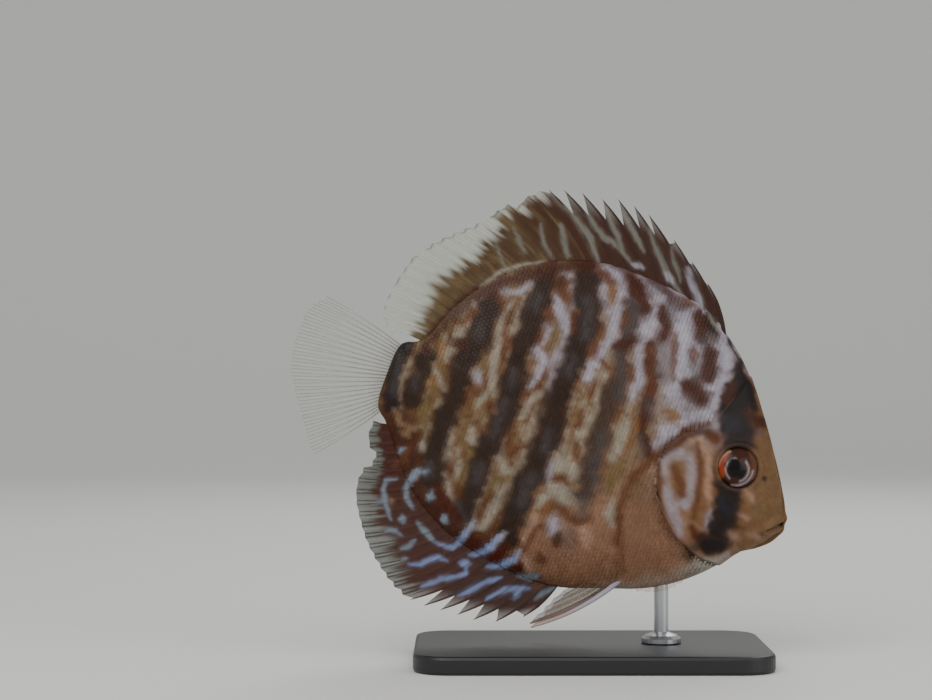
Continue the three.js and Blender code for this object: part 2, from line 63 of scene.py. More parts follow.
# Photo: its scale, the pixel of the tail root, the camera and the plane of the flank, in the stand's frame
MM_PER_PIXEL = 0.2506
TAIL_ROOT_PIXEL = (392, 376)
CAMERA_AT = (-31.1, -600.0, 77.9)
CAMERA_LENS = 92.5
FLANK_PLANE = -9.0

# Body outline from the mouth over the back, tail and belly: x, z, half rim, roundness
OUTLINE = np.array([
    (104.6, -1.6, 0.5, 0.5), (103.6, 1.8, 0.5, 0.5), (101.0, 6.6, 0.4, 0.5), (98.3, 11.0, 0.4, 0.5),
    (92.8, 19.0, 0.4, 0.52), (87.2, 26.3, 0.5, 0.55), (81.8, 32.4, 0.6, 0.6), (75.8, 37.3, 1.0, 0.72),
    (69.3, 41.4, 1.2, 0.85), (57.0, 43.9, 1.2, 0.85), (39.7, 44.0, 1.2, 0.85), (30.1, 41.0, 1.2, 0.85),
    (21.2, 36.2, 1.2, 0.85), (15.6, 31.0, 1.2, 0.84), (11.4, 25.4, 1.2, 0.82), (8.2, 19.6, 1.3, 0.8),
    (6.2, 14.2, 1.5, 0.78), (3.6, 9.9, 1.7, 0.76), (0.2, 8.2, 1.9, 0.75), (-0.7, 0.0, 2.2, 0.75),
    (-0.2, -8.2, 1.9, 0.75), (2.2, -10.4, 1.7, 0.76), (5.2, -14.0, 1.4, 0.78), (9.2, -19.6, 1.2, 0.8),
    (15.3, -25.7, 1.2, 0.8), (23.7, -30.9, 1.2, 0.8), (32.7, -34.0, 1.2, 0.8), (49.5, -36.2, 1.2, 0.78),
    (57.3, -35.4, 1.2, 0.72), (66.8, -32.4, 0.9, 0.62), (76.3, -29.2, 0.7, 0.58), (83.0, -25.6, 0.6, 0.55),
    (88.6, -21.2, 0.6, 0.52), (92.4, -17.3, 0.6, 0.5), (95.9, -12.9, 0.6, 0.5), (100.5, -9.9, 0.5, 0.5),
    (103.4, -7.2, 0.5, 0.5), (104.6, -4.6, 0.5, 0.5),
])
# Middle of the skin's rings, how square they are towards the rim, and how often corners are eased
BODY_CENTRE = np.array([50.0, 4.0])
RIM_POWER = 2.4
CORNER_PASSES = 12
# Half thickness of the body at each x, and where the finer points of the head start
FULLNESS = np.array([(0, 5.2), (25, 7.8), (50, 9.4), (75, 11), (90, 11.5), (106, 10.5)])
HEAD_STARTS_AT = 75.0

# Rear edge of the gill cover, eye, nostril and mouth; `part` is how far each lip is from the slit
GILL_COVER = np.array([
    (84.6, 30.6), (77.9, 14.8), (73.2, 11.0), (70.2, 6.2), (69.8, 0.4),
    (71.8, -5.4), (75.6, -10.8), (80.4, -14.6), (86.0, -16.8), (93.2, -17.4),
])
EYE = {"x": 88.5, "z": 7.4, "radius": 5.5, "depth": 3.6, "sunk": 1.6}
NOSTRIL = (95.9, 6.9)
MOUTH = {"front": (104.1, -2.3), "corner": (100.4, -5.2), "width": 4.2, "part": 1.35,
         "middle": (103, -3.5), "reach": 9}


def linear(hex_colour):
    """An sRGB hex colour as linear red, green and blue."""
    channels = [int(hex_colour[i:i + 2], 16) / 255 for i in (1, 3, 5)]
    return tuple(c / 12.92 if c <= 0.04045 else ((c + 0.055) / 1.055) ** 2.4 for c in channels)


def smooth_step(low, high, value):
    """0 below low, 1 above high, and a soft slope between."""
    t = np.clip((value - low) / (high - low), 0, 1)
    return t * t * (3 - 2 * t)


def swell(distance, at, width, height=1.0):
    """As high as height at one distance, fading softly over a width on both sides of it."""
    return height * np.exp(-((distance - at) / width) ** 2)


def mixed(first, second, part):
    """The first where part is 0, the second where it is 1, and a mix between."""
    return first * (1 - part) + second * part


def unit(vectors):
    """The same directions with a length of 1."""
    return vectors / np.linalg.norm(vectors, axis=-1, keepdims=True)


def posed(points):
    """Fish frame in millimetres to the frame of the stand in metres."""
    x, y, z = np.asarray(points, float).T
    turned_x = x * math.cos(PITCH_DOWN) + z * math.sin(PITCH_DOWN)
    turned_z = z * math.cos(PITCH_DOWN) - x * math.sin(PITCH_DOWN)
    return np.stack([turned_x, y, turned_z], axis=1) * MM + np.array(TAIL_ROOT) * MM


def fish_place(pixel):
    """The place in x and z on the right flank that a pixel of the photo shows."""
    across = TAIL_ROOT[0] + (pixel[0] - TAIL_ROOT_PIXEL[0]) * MM_PER_PIXEL
    up = TAIL_ROOT[2] - (pixel[1] - TAIL_ROOT_PIXEL[1]) * MM_PER_PIXEL
    nearer = (FLANK_PLANE - CAMERA_AT[1]) / -CAMERA_AT[1]
    across = CAMERA_AT[0] + (across - CAMERA_AT[0]) * nearer - TAIL_ROOT[0]
    up = CAMERA_AT[2] + (up - CAMERA_AT[2]) * nearer - TAIL_ROOT[2]
    x = across * math.cos(PITCH_DOWN) - up * math.sin(PITCH_DOWN)
    z = across * math.sin(PITCH_DOWN) + up * math.cos(PITCH_DOWN)
    return x, z


def soft_noise(x, z, size, seed):
    """Soft random values from -1 to 1 that change over about `size` millimetres."""
    cells, far_from_zero = 64, 1000
    grid = np.random.default_rng(seed).uniform(-1, 1, (cells, cells))
    u, v = np.asarray(x) / size + far_from_zero, np.asarray(z) / size + far_from_zero
    i, j = np.floor(u).astype(int), np.floor(v).astype(int)
    fu, fv = smooth_step(0, 1, u - i), smooth_step(0, 1, v - j)
    near = mixed(grid[i % cells, j % cells], grid[(i + 1) % cells, j % cells], fu)
    far = mixed(grid[i % cells, (j + 1) % cells], grid[(i + 1) % cells, (j + 1) % cells], fu)
    return mixed(near, far, fv)


# Smooth paths through points, spaced so that they bend without loops
def curve_piece(p0, p1, p2, p3, t):
    """The stretch of a centripetal path between p1 and p2, at the shares t."""
    d0, d1, d2 = (max(math.dist(a, b), 1e-4) ** 0.5 for a, b in ((p0, p1), (p1, p2), (p2, p3)))
    start = ((p1 - p0) / d0 - (p2 - p0) / (d0 + d1) + (p2 - p1) / d1) * d1
    end = ((p2 - p1) / d1 - (p3 - p1) / (d1 + d2) + (p3 - p2) / d2) * d1
    t = np.asarray(t)[:, None]
    bend = 3 * (p2 - p1) - 2 * start - end
    twist = 2 * (p1 - p2) + start + end
    return p1 + start * t + bend * t ** 2 + twist * t ** 3


def smooth_path(points, shares, divisions=400):
    """Points at these shares of the length of an open path."""
    points = np.asarray(points, float)
    ends = np.vstack([2 * points[0] - points[1], points, 2 * points[-1] - points[-2]])
    steps = max(divisions // (len(points) - 1), 8)
    fine = [curve_piece(*ends[k:k + 4], np.arange(steps) / steps) for k in range(len(points) - 1)]
    fine = np.vstack(fine + [points[-1:]])
    run = np.concatenate([[0], np.cumsum(np.linalg.norm(np.diff(fine, axis=0), axis=1))])
    at = np.asarray(shares) * run[-1]
    return np.stack([np.interp(at, run, fine[:, k]) for k in range(fine.shape[1])], axis=1)


def closed_outline(steps):
    """Samples of the outline, `steps[k]` of them from its point k on: x, z, rim, roundness, place."""
    count = len(OUTLINE)
    samples = []
    for k in range(count):
        t = np.arange(steps[k]) / steps[k]
        around = [OUTLINE[(k + j) % count] for j in (-1, 0, 1, 2)]
        places = curve_piece(*(p[:2] for p in around), t)
        blend = around[1][2:] + (around[2][2:] - around[1][2:]) * t[:, None]
        samples.append(np.hstack([places, blend, (k + t)[:, None]]))
    return np.vstack(samples)


def corner_ease():
    """How far the true outline stands beyond one with eased corners, twice per outline point."""
    coarse = closed_outline([2] * len(OUTLINE))
    radii = np.linalg.norm(coarse[:, :2] - BODY_CENTRE, axis=1)
    soft = radii
    for _ in range(CORNER_PASSES):
        soft = (np.roll(soft, 1) + 2 * soft + np.roll(soft, -1)) / 4
    return np.append(radii / soft, radii[0] / soft[0])


CORNER_EASE = corner_ease()


def beyond_at(place):
    """The corner easing at a place counted in outline points."""
    return np.interp(place * 2, np.arange(len(CORNER_EASE)), CORNER_EASE)


def flank_thickness(x, ring, rim, roundness, beyond):
    """Half the body's thickness, where ring is 0 at its middle and 1 at its rim."""
    full = np.maximum(np.interp(x, FULLNESS[:, 0], FULLNESS[:, 1]), rim)
    inside = np.maximum(1 - (ring * beyond) ** RIM_POWER, 0)
    return rim + (full - rim) * inside ** roundness


class FlankMap:
    """Reads the flank anywhere: how far out a place is and how thick the body is there."""

    def __init__(self):
        samples = closed_outline([12] * len(OUTLINE))
        away = samples[:, :2] - BODY_CENTRE
        angle = np.arctan2(away[:, 1], away[:, 0])
        order = np.argsort(angle)
        columns = [np.linalg.norm(away, axis=1), samples[:, 2], samples[:, 3], beyond_at(samples[:, 4])]
        self.angle = np.concatenate([angle[order] - 2 * np.pi, angle[order], angle[order] + 2 * np.pi])
        self.columns = [np.tile(column[order], 3) for column in columns]

    def read(self, x, z):
        """Ring and half thickness at x and z."""
        dx, dz = x - BODY_CENTRE[0], z - BODY_CENTRE[1]
        angle = np.arctan2(dz, dx)
        radius, rim, roundness, beyond = (np.interp(angle, self.angle, c) for c in self.columns)
        ring = np.hypot(dx, dz) / radius
        return ring, flank_thickness(x, np.minimum(ring, 1), rim, roundness, beyond)

    def slopes(self, x, z, step):
        """How fast the half thickness grows forwards and upwards."""
        half = [self.read(x + dx, z + dz)[1] for dx, dz in ((step, 0), (-step, 0), (0, step), (0, -step))]
        return (half[0] - half[1]) / (2 * step), (half[2] - half[3]) / (2 * step)


FLANK = FlankMap()


def nearest_on_path(x, z, path):
    """How far each place is from a path, the share of its length there, and the side, 1 to its left."""
    lengths = [math.dist(a, b) for a, b in zip(path[:-1], path[1:])]
    best = np.full(x.shape, np.inf)
    share = np.zeros(x.shape)
    side = np.ones(x.shape)
    passed = 0.0
    for (ax, az), (bx, bz), length in zip(path[:-1], path[1:], lengths):
        dx, dz = bx - ax, bz - az
        t = np.clip(((x - ax) * dx + (z - az) * dz) / (length ** 2 + TINY), 0, 1)
        distance = np.hypot(x - ax - t * dx, z - az - t * dz)
        nearer = distance < best
        share = np.where(nearer, (passed + t * length) / (sum(lengths) + TINY), share)
        side = np.where(nearer, np.sign(dx * (z - az) - dz * (x - ax)), side)
        best = np.where(nearer, distance, best)
        passed += length
    return best, share, side


def space_distance(points, path):
    """Distance of points in space to a path in space."""
    best = np.full(len(points), np.inf)
    for a, b in zip(path[:-1], path[1:]):
        along = b - a
        t = np.clip((points - a) @ along / (along @ along), 0, 1)
        best = np.minimum(best, np.linalg.norm(points - a - t[:, None] * along, axis=1))
    return best


GILL_LINE = smooth_path(GILL_COVER, np.linspace(0, 1, 41))


def ahead_of_gills(x, z):
    """Distance to the rear edge of the gill cover: above 0 on the head, below 0 behind it."""
    distance, _, side = nearest_on_path(x, z, GILL_LINE)
    return distance * side


def arc(centre, radius, start, end):
    """Pixels along part of a circle, its angles in degrees, clockwise from the right."""
    degrees_apart = 15
    steps = max(6, int(abs(end - start) / degrees_apart))
    turns = np.radians(np.linspace(start, end, steps + 1))
    return [(centre[0] + radius * math.cos(t), centre[1] + radius * math.sin(t)) for t in turns]


# Marks of the right flank, read off the photo: paint, width in pixels, and pixels along the mark
BARS = [
    ("pitch", 16, (404, 345), (398, 360), (393, 378), (391, 397), (392, 406)),
    ("char", 19, (426, 358), (420, 372), (415, 385), (413, 402)),
    ("char", 23, (490, 306), (484, 325), (478, 340), (469, 355), (462, 370), (459, 382), (455, 397),
     (450, 410), (443, 424), (437, 440), (434, 458), (433, 480)),
    ("char", 23, (547, 280), (540, 300), (532, 320), (524, 340), (518, 360), (513, 380), (508, 400),
     (503, 420), (497, 433), (489, 446), (482, 459), (478, 471), (474, 486), (469, 498), (463, 512)),
    ("char", 25, (586, 262), (588, 280), (588, 300), (587, 320), (583, 338), (577, 352), (571, 368),
     (564, 386), (557, 404), (552, 424), (546, 442), (538, 458), (530, 476), (523, 492), (517, 507),
     (510, 522), (506, 540)),
    ("brown", 16, (634, 283), (642, 296), (645, 308)),
    ("umber", 17, (612, 388), (608, 404), (603, 425), (598, 442), (592, 460), (588, 475), (585, 492)),
    ("umber", 12, (630, 304), (633, 320), (628, 340), (622, 356), (621, 375), (618, 390)),
    ("brown", 10, (652, 345), (650, 362), (652, 378), (650, 392), (645, 410), (641, 425), (644, 440),
     (648, 454)),
    ("brown", 11, (666, 308), (667, 324), (664, 338)),
    ("brown", 16, (705, 314), (704, 334)),
    ("char", 8, (713, 322), (716, 332)),
    ("brown", 17, (711, 352), (709, 373)),
    ("brown", 19, (693, 387), (699, 399)),
    ("pitch", 17, (742, 372), (745, 384)),
    ("pitch", 26, (739, 388), (738, 398)),
    ("pitch", 33, (737, 404), (738, 420), (739, 438)),
    ("pitch", 4, (734, 343), (744, 362), (751, 384), (755, 402)),
    ("pitch", 11, (749, 384), (753, 398), (755, 408)),
    ("brown", 7, (755, 420), (765, 423)),
    ("pitch", 27, (728, 488), (727, 505), (725, 520), (721, 532)),
    ("char", 16, (706, 541), (722, 541)),
    ("pitch", 15, (709, 548), (718, 547)),
]
PALE_MARKS = [
    ("cream", 6, (413, 356), (404, 372), (400, 390), (400, 408)),
    ("cream", 6, (430, 362), (438, 374), (445, 392)),
    ("cream", 8, (470, 323), (462, 334), (455, 338)),
    ("cream", 7, (456, 313), (463, 308), (475, 303), (483, 298)),
    ("cream", 7, (452, 350), (447, 360)),
    ("lilac", 9, (477, 374), (478, 380)),
    ("cream", 6, (483, 396), (478, 407)),
    ("cream", 8, (512, 303), (501, 315), (500, 330), (499, 345), (494, 360), (491, 380), (495, 396)),
    ("cream", 7, (536, 284), (528, 292), (523, 305), (518, 319), (514, 336)),
    ("lilac", 9, (502, 288), (504, 290)),
    ("lilac", 6, (510, 291), (520, 290), (530, 284), (538, 279)),
    ("lilac", 9, (549, 324), (546, 338), (536, 350), (545, 362), (537, 374), (530, 386)),
    ("cream", 7, (550, 390), (540, 397), (528, 403), (522, 418)),
    ("lilac", 13, (559, 298), (562, 315), (566, 325), (566, 342), (560, 358), (556, 374), (551, 392)),
    ("lilac", 6, (562, 273), (577, 276)),
    ("lilac", 6, (574, 283), (576, 300), (572, 312)),
    ("lilac", 9, (601, 262), (608, 268), (619, 275), (624, 285), (622, 299), (617, 312), (613, 325),
     (614, 334), (606, 346), (600, 357), (592, 367)),
    ("lilac", 7, (602, 280), (603, 296), (607, 312)),
    ("lilac", 13, (588, 371), (590, 379)),
    ("cream", 7, (604, 376), (601, 392), (598, 404), (590, 420)),
    ("lilac", 15, (645, 279), (655, 289), (660, 300), (657, 313), (649, 324), (639, 331)),
    ("lilac", 11, (650, 336), (643, 347), (640, 360), (640, 380), (632, 396)),
    ("lilac", 24, (686, 312), (690, 336), (687, 356), (682, 375), (676, 392)),
    ("lilac", 20, (720, 342), (727, 360), (724, 380), (714, 395), (708, 412)),
    ("cream", 10, (452, 430), (450, 442), (446, 456), (443, 470), (445, 485), (450, 496), (457, 510)),
    ("cream", 7, (458, 462), (458, 476)),
    ("cream", 8, (472, 430), (472, 442)),
    ("cream", 8, (503, 446), (499, 458), (505, 470), (516, 474), (524, 462), (529, 445), (533, 428),
     (537, 413)),
    ("cream", 8, (487, 480), (482, 492), (477, 503), (472, 513), (470, 523)),
    ("cream", 11, (506, 488), (500, 500), (495, 512), (488, 522), (477, 531)),
    ("cream", 12, (562, 448), (557, 462), (566, 467), (576, 468), (580, 480)),
    ("cream", 10, (592, 416), (588, 430), (577, 435)),
    ("cream", 19, (551, 489), (563, 490), (571, 497), (558, 500)),
    ("lilac", 11, (551, 464), (548, 478)),
    ("cream", 10, (546, 494), (540, 505)),
    ("blush", 11, (535, 515), (530, 528), (524, 538)),
    ("lilac", 13, (556, 519), (553, 530)),
    ("blush", 11, (583, 530), (588, 538), (586, 546)),
    ("cream", 11, (628, 419), (624, 434), (618, 445), (612, 458)),
    ("cream", 8, (613, 500), (610, 515), (611, 526)),
    ("lilac", 18, (663, 431), (671, 435), (661, 445), (656, 451)),
    ("lilac", 12, (682, 424), (692, 414)),
    ("blush", 10, (525, 560), (530, 571)),
    ("lilac", 9, (711, 512), (708, 528), (714, 526)),
    ("blush", 8, (708, 450), (709, 475), (708, 492), (711, 505)),
    ("blush", 9, (690, 437), (699, 440), (703, 452)),
    ("slate", 7, (757, 432), (762, 434)),
    ("slate", 6, (692, 547), (697, 549)),
]
# Soft dark grounds at the rear and along the fins' bases, under all other marks
BASE_MARKS = [
    ("brown", 34, (390, 420), (398, 455), (412, 490), (432, 520), (456, 545), (482, 562), (512, 578)),
    ("brown", 18, (512, 578), (548, 594)),
    ("brown", 22, (392, 400), (398, 430), (412, 452)),
    ("olive", 14, (428, 352), (440, 372), (436, 392)),
    ("bronze", 30, (750, 392), (764, 420), (774, 446)),
    ("throat", 12, (606, 594), (640, 589), (672, 581), (704, 567)),
    ("throat", 9, (704, 567), (728, 556)),
]
# The dark arc where the back meets its fin, on the body and on the fin
RIM_MARKS = [
    ("brown", 16, (424, 348), (441, 326), (457, 308), (472, 297), (492, 286), (506, 279), (522, 275),
     (542, 271), (562, 267), (582, 264), (600, 265)),
    ("brown", 14, (640, 270), (656, 276), (666, 288), (677, 300), (686, 306)),
    ("brown", 12, (600, 250), (616, 260), (632, 273), (640, 284)),
]
HEAD_MARKS = [
    ("lilac", 10, (664, 474), (662, 462), (669, 453), (680, 453), (689, 459), (692, 471), (691, 484),
     (689, 497), (685, 505)),
    ("lilac", 11, (665, 487), (668, 500), (672, 511), (677, 523), (679, 535)),
    ("lilac", 6, (672, 510), (679, 500), (686, 506)),
    # Painted highlight on the root of the pectoral fin
    ("blush", 10, (655, 465), (652, 480), (648, 496)),
    ("blush", 9, (747, 491), (753, 500)),
    ("blush", 5, (740, 515), (749, 519)),
    ("blush", 9, (732, 535), (738, 540)),
    ("blush", 7, (752, 536), (762, 538)),
]
RUST_MARKS = RIM_MARKS + [
    ("brown", 10, (716, 439), (702, 431), (686, 434), (672, 445), (658, 456)),
    ("brown", 12, (734, 384), (728, 400)),
    ("brown", 10, (748, 414), (764, 423)),
    ("rust", 9, (651, 350), (652, 372), (651, 392)),
    ("orange", 9, (434, 377), (434, 384)),
    ("orange", 6, (442, 340), (443, 365)),
    ("rust", 9, (474, 312), (466, 318), (456, 325)),
    ("brown", 9, (452, 336), (463, 346), (452, 345)),
    ("rust", 10, (502, 299), (503, 305)),
    ("rust", 7, (520, 300), (513, 312), (507, 325), (507, 340), (503, 355), (500, 371)),
    ("rust", 6, (487, 370), (485, 385), (478, 393)),
    ("rust", 7, (492, 400), (491, 406)),
    ("rust", 9, (552, 312), (551, 323)),
    ("rust", 8, (541, 334), (540, 344)),
    ("olive", 10, (557, 330), (553, 347)),
    ("rust", 7, (548, 372), (540, 385), (530, 393), (524, 400)),
    ("brown", 13, (563, 278), (561, 290)),
    ("rust", 9, (563, 290), (569, 301)),
    ("rust", 7, (574, 312), (573, 332)),
    ("rust", 8, (604, 330), (600, 339), (595, 347), (592, 357)),
    ("rust", 10, (603, 271), (612, 281), (613, 287)),
    ("orange", 9, (613, 287), (612, 296), (611, 302)),
    ("rust", 10, (626, 313), (624, 325)),
    ("brown", 14, (617, 347), (629, 341), (637, 339)),
    ("rust", 8, (602, 362), (608, 369)),
    ("rust", 8, (594, 384), (590, 396)),
    ("rust", 9, (629, 366), (630, 379)),
    ("rust", 9, (676, 334), (674, 356), (673, 378)),
    ("rust", 9, (695, 347), (694, 364)),
    ("rust", 12, (688, 299), (694, 302)),
    ("olive", 6, (466, 422), (465, 445), (470, 455), (466, 470), (463, 485)),
    ("rust", 7, (450, 465), (450, 479)),
    ("rust", 8, (462, 487), (459, 498)),
    ("rust", 6, (512, 456), (518, 450), (526, 445)),
    ("rust", 6, (511, 434), (508, 452)),
    ("olive", 9, (487, 492), (496, 479), (509, 480)),
    ("rust", 7, (491, 494), (485, 508), (479, 517)),
    ("rust", 8, (501, 514), (496, 526), (490, 537)),
    ("rust", 8, (582, 414), (580, 426)),
    ("rust", 10, (573, 445), (576, 456)),
    ("rust", 9, (552, 478), (562, 478), (571, 483)),
    ("rust", 9, (543, 511), (554, 504), (562, 508), (570, 517), (578, 522), (590, 519)),
    ("brown", 10, (560, 534), (557, 547)),
    ("orange", 8, (547, 505), (545, 514)),
    ("rust", 8, (540, 525), (530, 540), (524, 552)),
    ("rust", 11, (541, 557), (542, 562)),
    ("orange", 7, (634, 420), (633, 436), (628, 452)),
    ("olive", 10, (620, 462), (615, 476), (609, 491)),
    ("rust", 8, (618, 520), (620, 540), (622, 562), (624, 574)),
    ("orange", 11, (665, 412), (676, 417)),
    # From the dark arc over the gill cover down along the pectoral fin's rear edge; along the fin it is the
    # fin's edge with its painted shadow
    ("rust", 9, (708, 424), (694, 426), (684, 432), (675, 442), (664, 450), (652, 457), (642, 468),
     (631, 481), (625, 493), (620, 506), (618, 520)),
    ("rust", 12, (708, 436), (717, 440)),
    ("rust", 6, (697, 443), (700, 462), (699, 480), (697, 500), (693, 518)),
    # Painted shadow along the rear edge of the gill cover
    ("rust", 7, (657, 462), (659, 480), (658, 500), (663, 520), (672, 538), (684, 548)),
    ("rust", 9, (673, 468), (678, 478), (681, 488), (680, 497)),
    ("redbrown", 9, (692, 528), (696, 538)),
    ("char", 12, (687, 554), (688, 559)),
    ("olive", 8, (756, 511), (764, 510)),
    ("umber", 4, *arc((735, 467), 22, 0, 360)),
]
SLATE_MARKS = [
    ("slate", 7, (399, 358), (395, 376), (393, 392)),
    ("slate", 6, (415, 376), (415, 386)),
    ("slate", 7, (482, 325), (478, 336)),
    ("slate", 7, (539, 297), (537, 308)),
    ("slate", 7, (515, 372), (512, 386)),
    ("slate", 7, (504, 402), (500, 418), (493, 436)),
    ("slate", 10, (588, 300), (588, 320), (587, 338)),
    ("slate", 9, (573, 362), (569, 372)),
    ("slate", 8, (480, 468), (476, 482)),
    ("slate", 10, (531, 478), (525, 494), (520, 505)),
    ("slate", 8, (548, 434), (545, 448)),
    ("slate", 11, (619, 355), (622, 366), (622, 382), (620, 396)),
    ("slate", 10, (604, 438), (599, 454), (594, 470), (598, 487)),
    ("slate", 13, (586, 501), (583, 512)),
    ("slate", 10, (632, 303), (635, 320), (628, 333)),
    ("slate", 9, (674, 306), (677, 318)),
    ("slate", 11, (662, 345), (662, 364), (661, 380)),
    ("slate", 8, (641, 438), (640, 456)),
    ("slate", 10, (648, 402), (650, 412)),
    ("slate", 10, (568, 530), (570, 546)),
    ("slate", 12, (703, 342), (714, 340)),
    ("slate", 8, (697, 366), (698, 378)),
    ("slate", 9, (690, 404), (687, 416)),
    ("slate", 8, (430, 466), (429, 476)),
    ("slate", 9, (458, 506), (462, 522)),
    ("ink", 13, (731, 424), (736, 426)),
    ("ink", 8, (720, 500), (728, 512)),
]
VENT_MARKS = [
    ("redbrown", 14, (437, 488), (443, 500), (452, 512), (460, 523)),
    ("redbrown", 14, (481, 535), (471, 542), (461, 551)),
    ("rust", 8, (484, 536), (476, 538)),
    ("redbrown", 12, (508, 548), (497, 556), (486, 564)),
    ("redbrown", 12, (522, 568), (514, 575), (500, 577)),
    ("rust", 13, (531, 585), (545, 589)),
    ("lilac", 7, (474, 521), (468, 531), (462, 540)),
    ("lilac", 8, (506, 536), (498, 543), (488, 552)),
    ("lilac", 6, (520, 551), (513, 562), (503, 568)),
    ("blue", 5.6, (471, 527), (464, 537), (458, 545), (453, 550), (446, 550), (437, 546)),
    ("sky", 4.8, (434, 545), (428, 538), (421, 530), (416, 525)),
    ("blue", 7.3, (499, 540), (492, 547), (484, 553), (475, 557), (469, 558)),
    ("blue", 7.3, (516, 557), (509, 564), (500, 569), (487, 570)),
    ("blue", 4.8, (408, 567), (420, 568), (430, 562), (437, 560), (446, 564)),
    ("blue", 7.3, (460, 566), (470, 567)),
    ("blue", 4.8, (467, 570), (466, 577), (455, 580), (441, 582), (432, 586), (421, 590)),
    ("blue", 5.6, (502, 581), (491, 583), (480, 588), (470, 594), (458, 599)),
    ("blue", 5.6, (530, 591), (518, 591), (507, 593), (497, 597), (487, 603)),
    ("blue", 4.8, (522, 593), (514, 602)),
    ("sky", 6.7, (519, 577), (529, 580), (538, 578)),
    ("sky", 4.8, (555, 591), (545, 596), (536, 603)),
    ("sky", 5.7, (427, 472), (418, 474), (410, 479), (405, 490), (406, 500), (412, 511)),
    ("sky", 8.6, (431, 494), (429, 501)),
    ("sky", 9.5, (442, 518), (445, 524)),
    ("sky", 5.7, (406, 449), (398, 454)),
    ("tan", 6, (394, 408), (399, 421), (409, 430), (420, 427)),
    ("olive", 7, (427, 400), (421, 416), (428, 434)),
    ("tan", 5, (408, 437), (400, 431)),
    ("rust", 8, (412, 442), (404, 460), (392, 468)),
    ("cream", 7, (421, 441), (421, 451)),
    ("sky", 6.7, (401, 519), (402, 525)),
    ("sky", 4.8, (395, 481), (385, 482), (382, 492), (384, 503), (387, 515), (390, 522)),
    ("sky", 4.8, (372, 505), (383, 503)),
    ("tan", 6, (390, 501), (391, 505)),
    ("sky", 4.8, (383, 532), (395, 534), (400, 538)),
    ("sky", 5.7, (400, 552), (408, 549), (414, 543)),
    ("sky", 3.8, (400, 562), (406, 561)),
]
BACK_MARKS = [
    ("mist", 5.4, (562, 222), (566, 243), (569, 256)),
    ("mist", 6.3, (566, 203), (575, 215), (583, 225), (592, 237), (596, 250), (600, 262)),
    ("mist", 6.3, (588, 209), (597, 225), (606, 236), (616, 241), (624, 250), (632, 260)),
    ("mist", 4.5, (607, 206), (613, 220), (619, 232), (625, 247)),
    ("mist", 5.4, (625, 211), (633, 225), (640, 238), (646, 250)),
    ("mist", 5.4, (652, 225), (655, 238), (660, 250), (666, 263), (672, 277), (679, 287), (685, 295)),
    ("mist", 3.6, (674, 245), (676, 258), (681, 270), (684, 281)),
    ("lilac", 6, (691, 267), (694, 278), (698, 290), (703, 302), (707, 312)),
    ("mist", 4.5, (712, 315), (717, 322), (721, 329)),
    ("lilac", 5, (634, 263), (646, 267)),
    ("lilac", 7, (668, 272), (675, 282)),
    ("mist", 3.6, (541, 222), (545, 243), (554, 258)),
    ("mist", 3.6, (514, 226), (520, 240), (526, 252)),
    ("mist", 2.7, (496, 243), (501, 254), (506, 266)),
    ("cream", 4, (545, 261), (530, 263), (515, 266), (502, 270), (491, 278), (481, 286)),
]
# Ground of the flank and head: paint, pixel of its middle and how far it reaches
GROUNDS = [
    ("lilac", (710, 320), 60), ("lilac", (665, 320), 45), ("lilac", (715, 395), 36),
    ("tan", (640, 370), 45), ("tan", (600, 350), 45), ("tan", (555, 350), 45),
    ("tan", (590, 440), 45), ("tan", (500, 400), 50), ("olive", (440, 390), 45),
    ("tan", (470, 460), 40), ("tan", (520, 500), 35), ("breast", (560, 560), 40),
    ("breast", (610, 545), 50), ("breast", (665, 540), 45), ("tan", (640, 470), 30),
    ("orange", (700, 470), 26), ("bronze", (772, 480), 42), ("bronze", (762, 425), 36),
    ("bronze", (750, 520), 30), ("orange", (690, 515), 24), ("throat", (706, 575), 14),
    ("brown", (400, 470), 32), ("brown", (425, 510), 32), ("brown", (450, 545), 26),
    ("brown", (500, 580), 20), ("tan", (395, 400), 22), ("olive", (420, 340), 25), ("bronze", (757, 402), 22),
    ("lilac", (700, 300), 35), ("bronze", (782, 520), 30), ("brown", (385, 450), 24),
    ("brown", (405, 430), 16), ("brown", (470, 560), 24),
]
EYE_PIXEL = (736, 468)
PUPIL_PIXEL = (736.5, 469.5)
EYE_MARKS = [
    ("ember", 8, (724, 451), (720, 462), (720, 475)),
    ("rust", 7, (752, 452), (755, 463), (753, 476)),
    # Painted highlight along the upper rim of the eye
    ("blush", 1.6, *arc(EYE_PIXEL, 17.5, 190, 250)),
    ("silver", 1.2, *arc(PUPIL_PIXEL, 11.6, 130, 265)),
    ("silver", 1.8, *arc(PUPIL_PIXEL, 12.0, -40, 75)),
    ("silver", 1.5, *arc(EYE_PIXEL, 17.5, 10, 105)),
    ("pupil", 19.5, (736.3, 469.3), (736.7, 469.7)),
]
# What is laid on the flank, from first to last: marks, strength, softness and how much their ends narrow
BAR_EDGES = [("rust", width + 6, *pixels) for _, width, *pixels in BARS]
FIN_BASE_LAYER = (VENT_MARKS + BACK_MARKS, 0.92, 0.8, 0.6)
FLANK_LAYERS = (
    (BASE_MARKS, 0.85, 2.5), (PALE_MARKS, 0.88, 1.2, 0.35), (BAR_EDGES, 0.6, 1.4), (BARS, 0.96),
    (HEAD_MARKS, 0.62, 1.6, 0.3), (RUST_MARKS, 0.88, 1.2, 0.3), (SLATE_MARKS, 0.5, 2.0), FIN_BASE_LAYER,
)
# Fine mottle over all marks: strength, size in millimetres and seed
MOTTLE = ((0.10, 1.1, 21), (0.08, 3.5, 22), (0.12, 0.5, 25))


# The way the bars run on the flank, from the foot of the middle bar to its top
BAR_LEAN = unit(np.subtract(fish_place((588, 262)), fish_place((506, 540))))
WORM_MIDDLE = fish_place((520, 410))
WORM_REACH = 36.0
WORM_COVER = 0.6


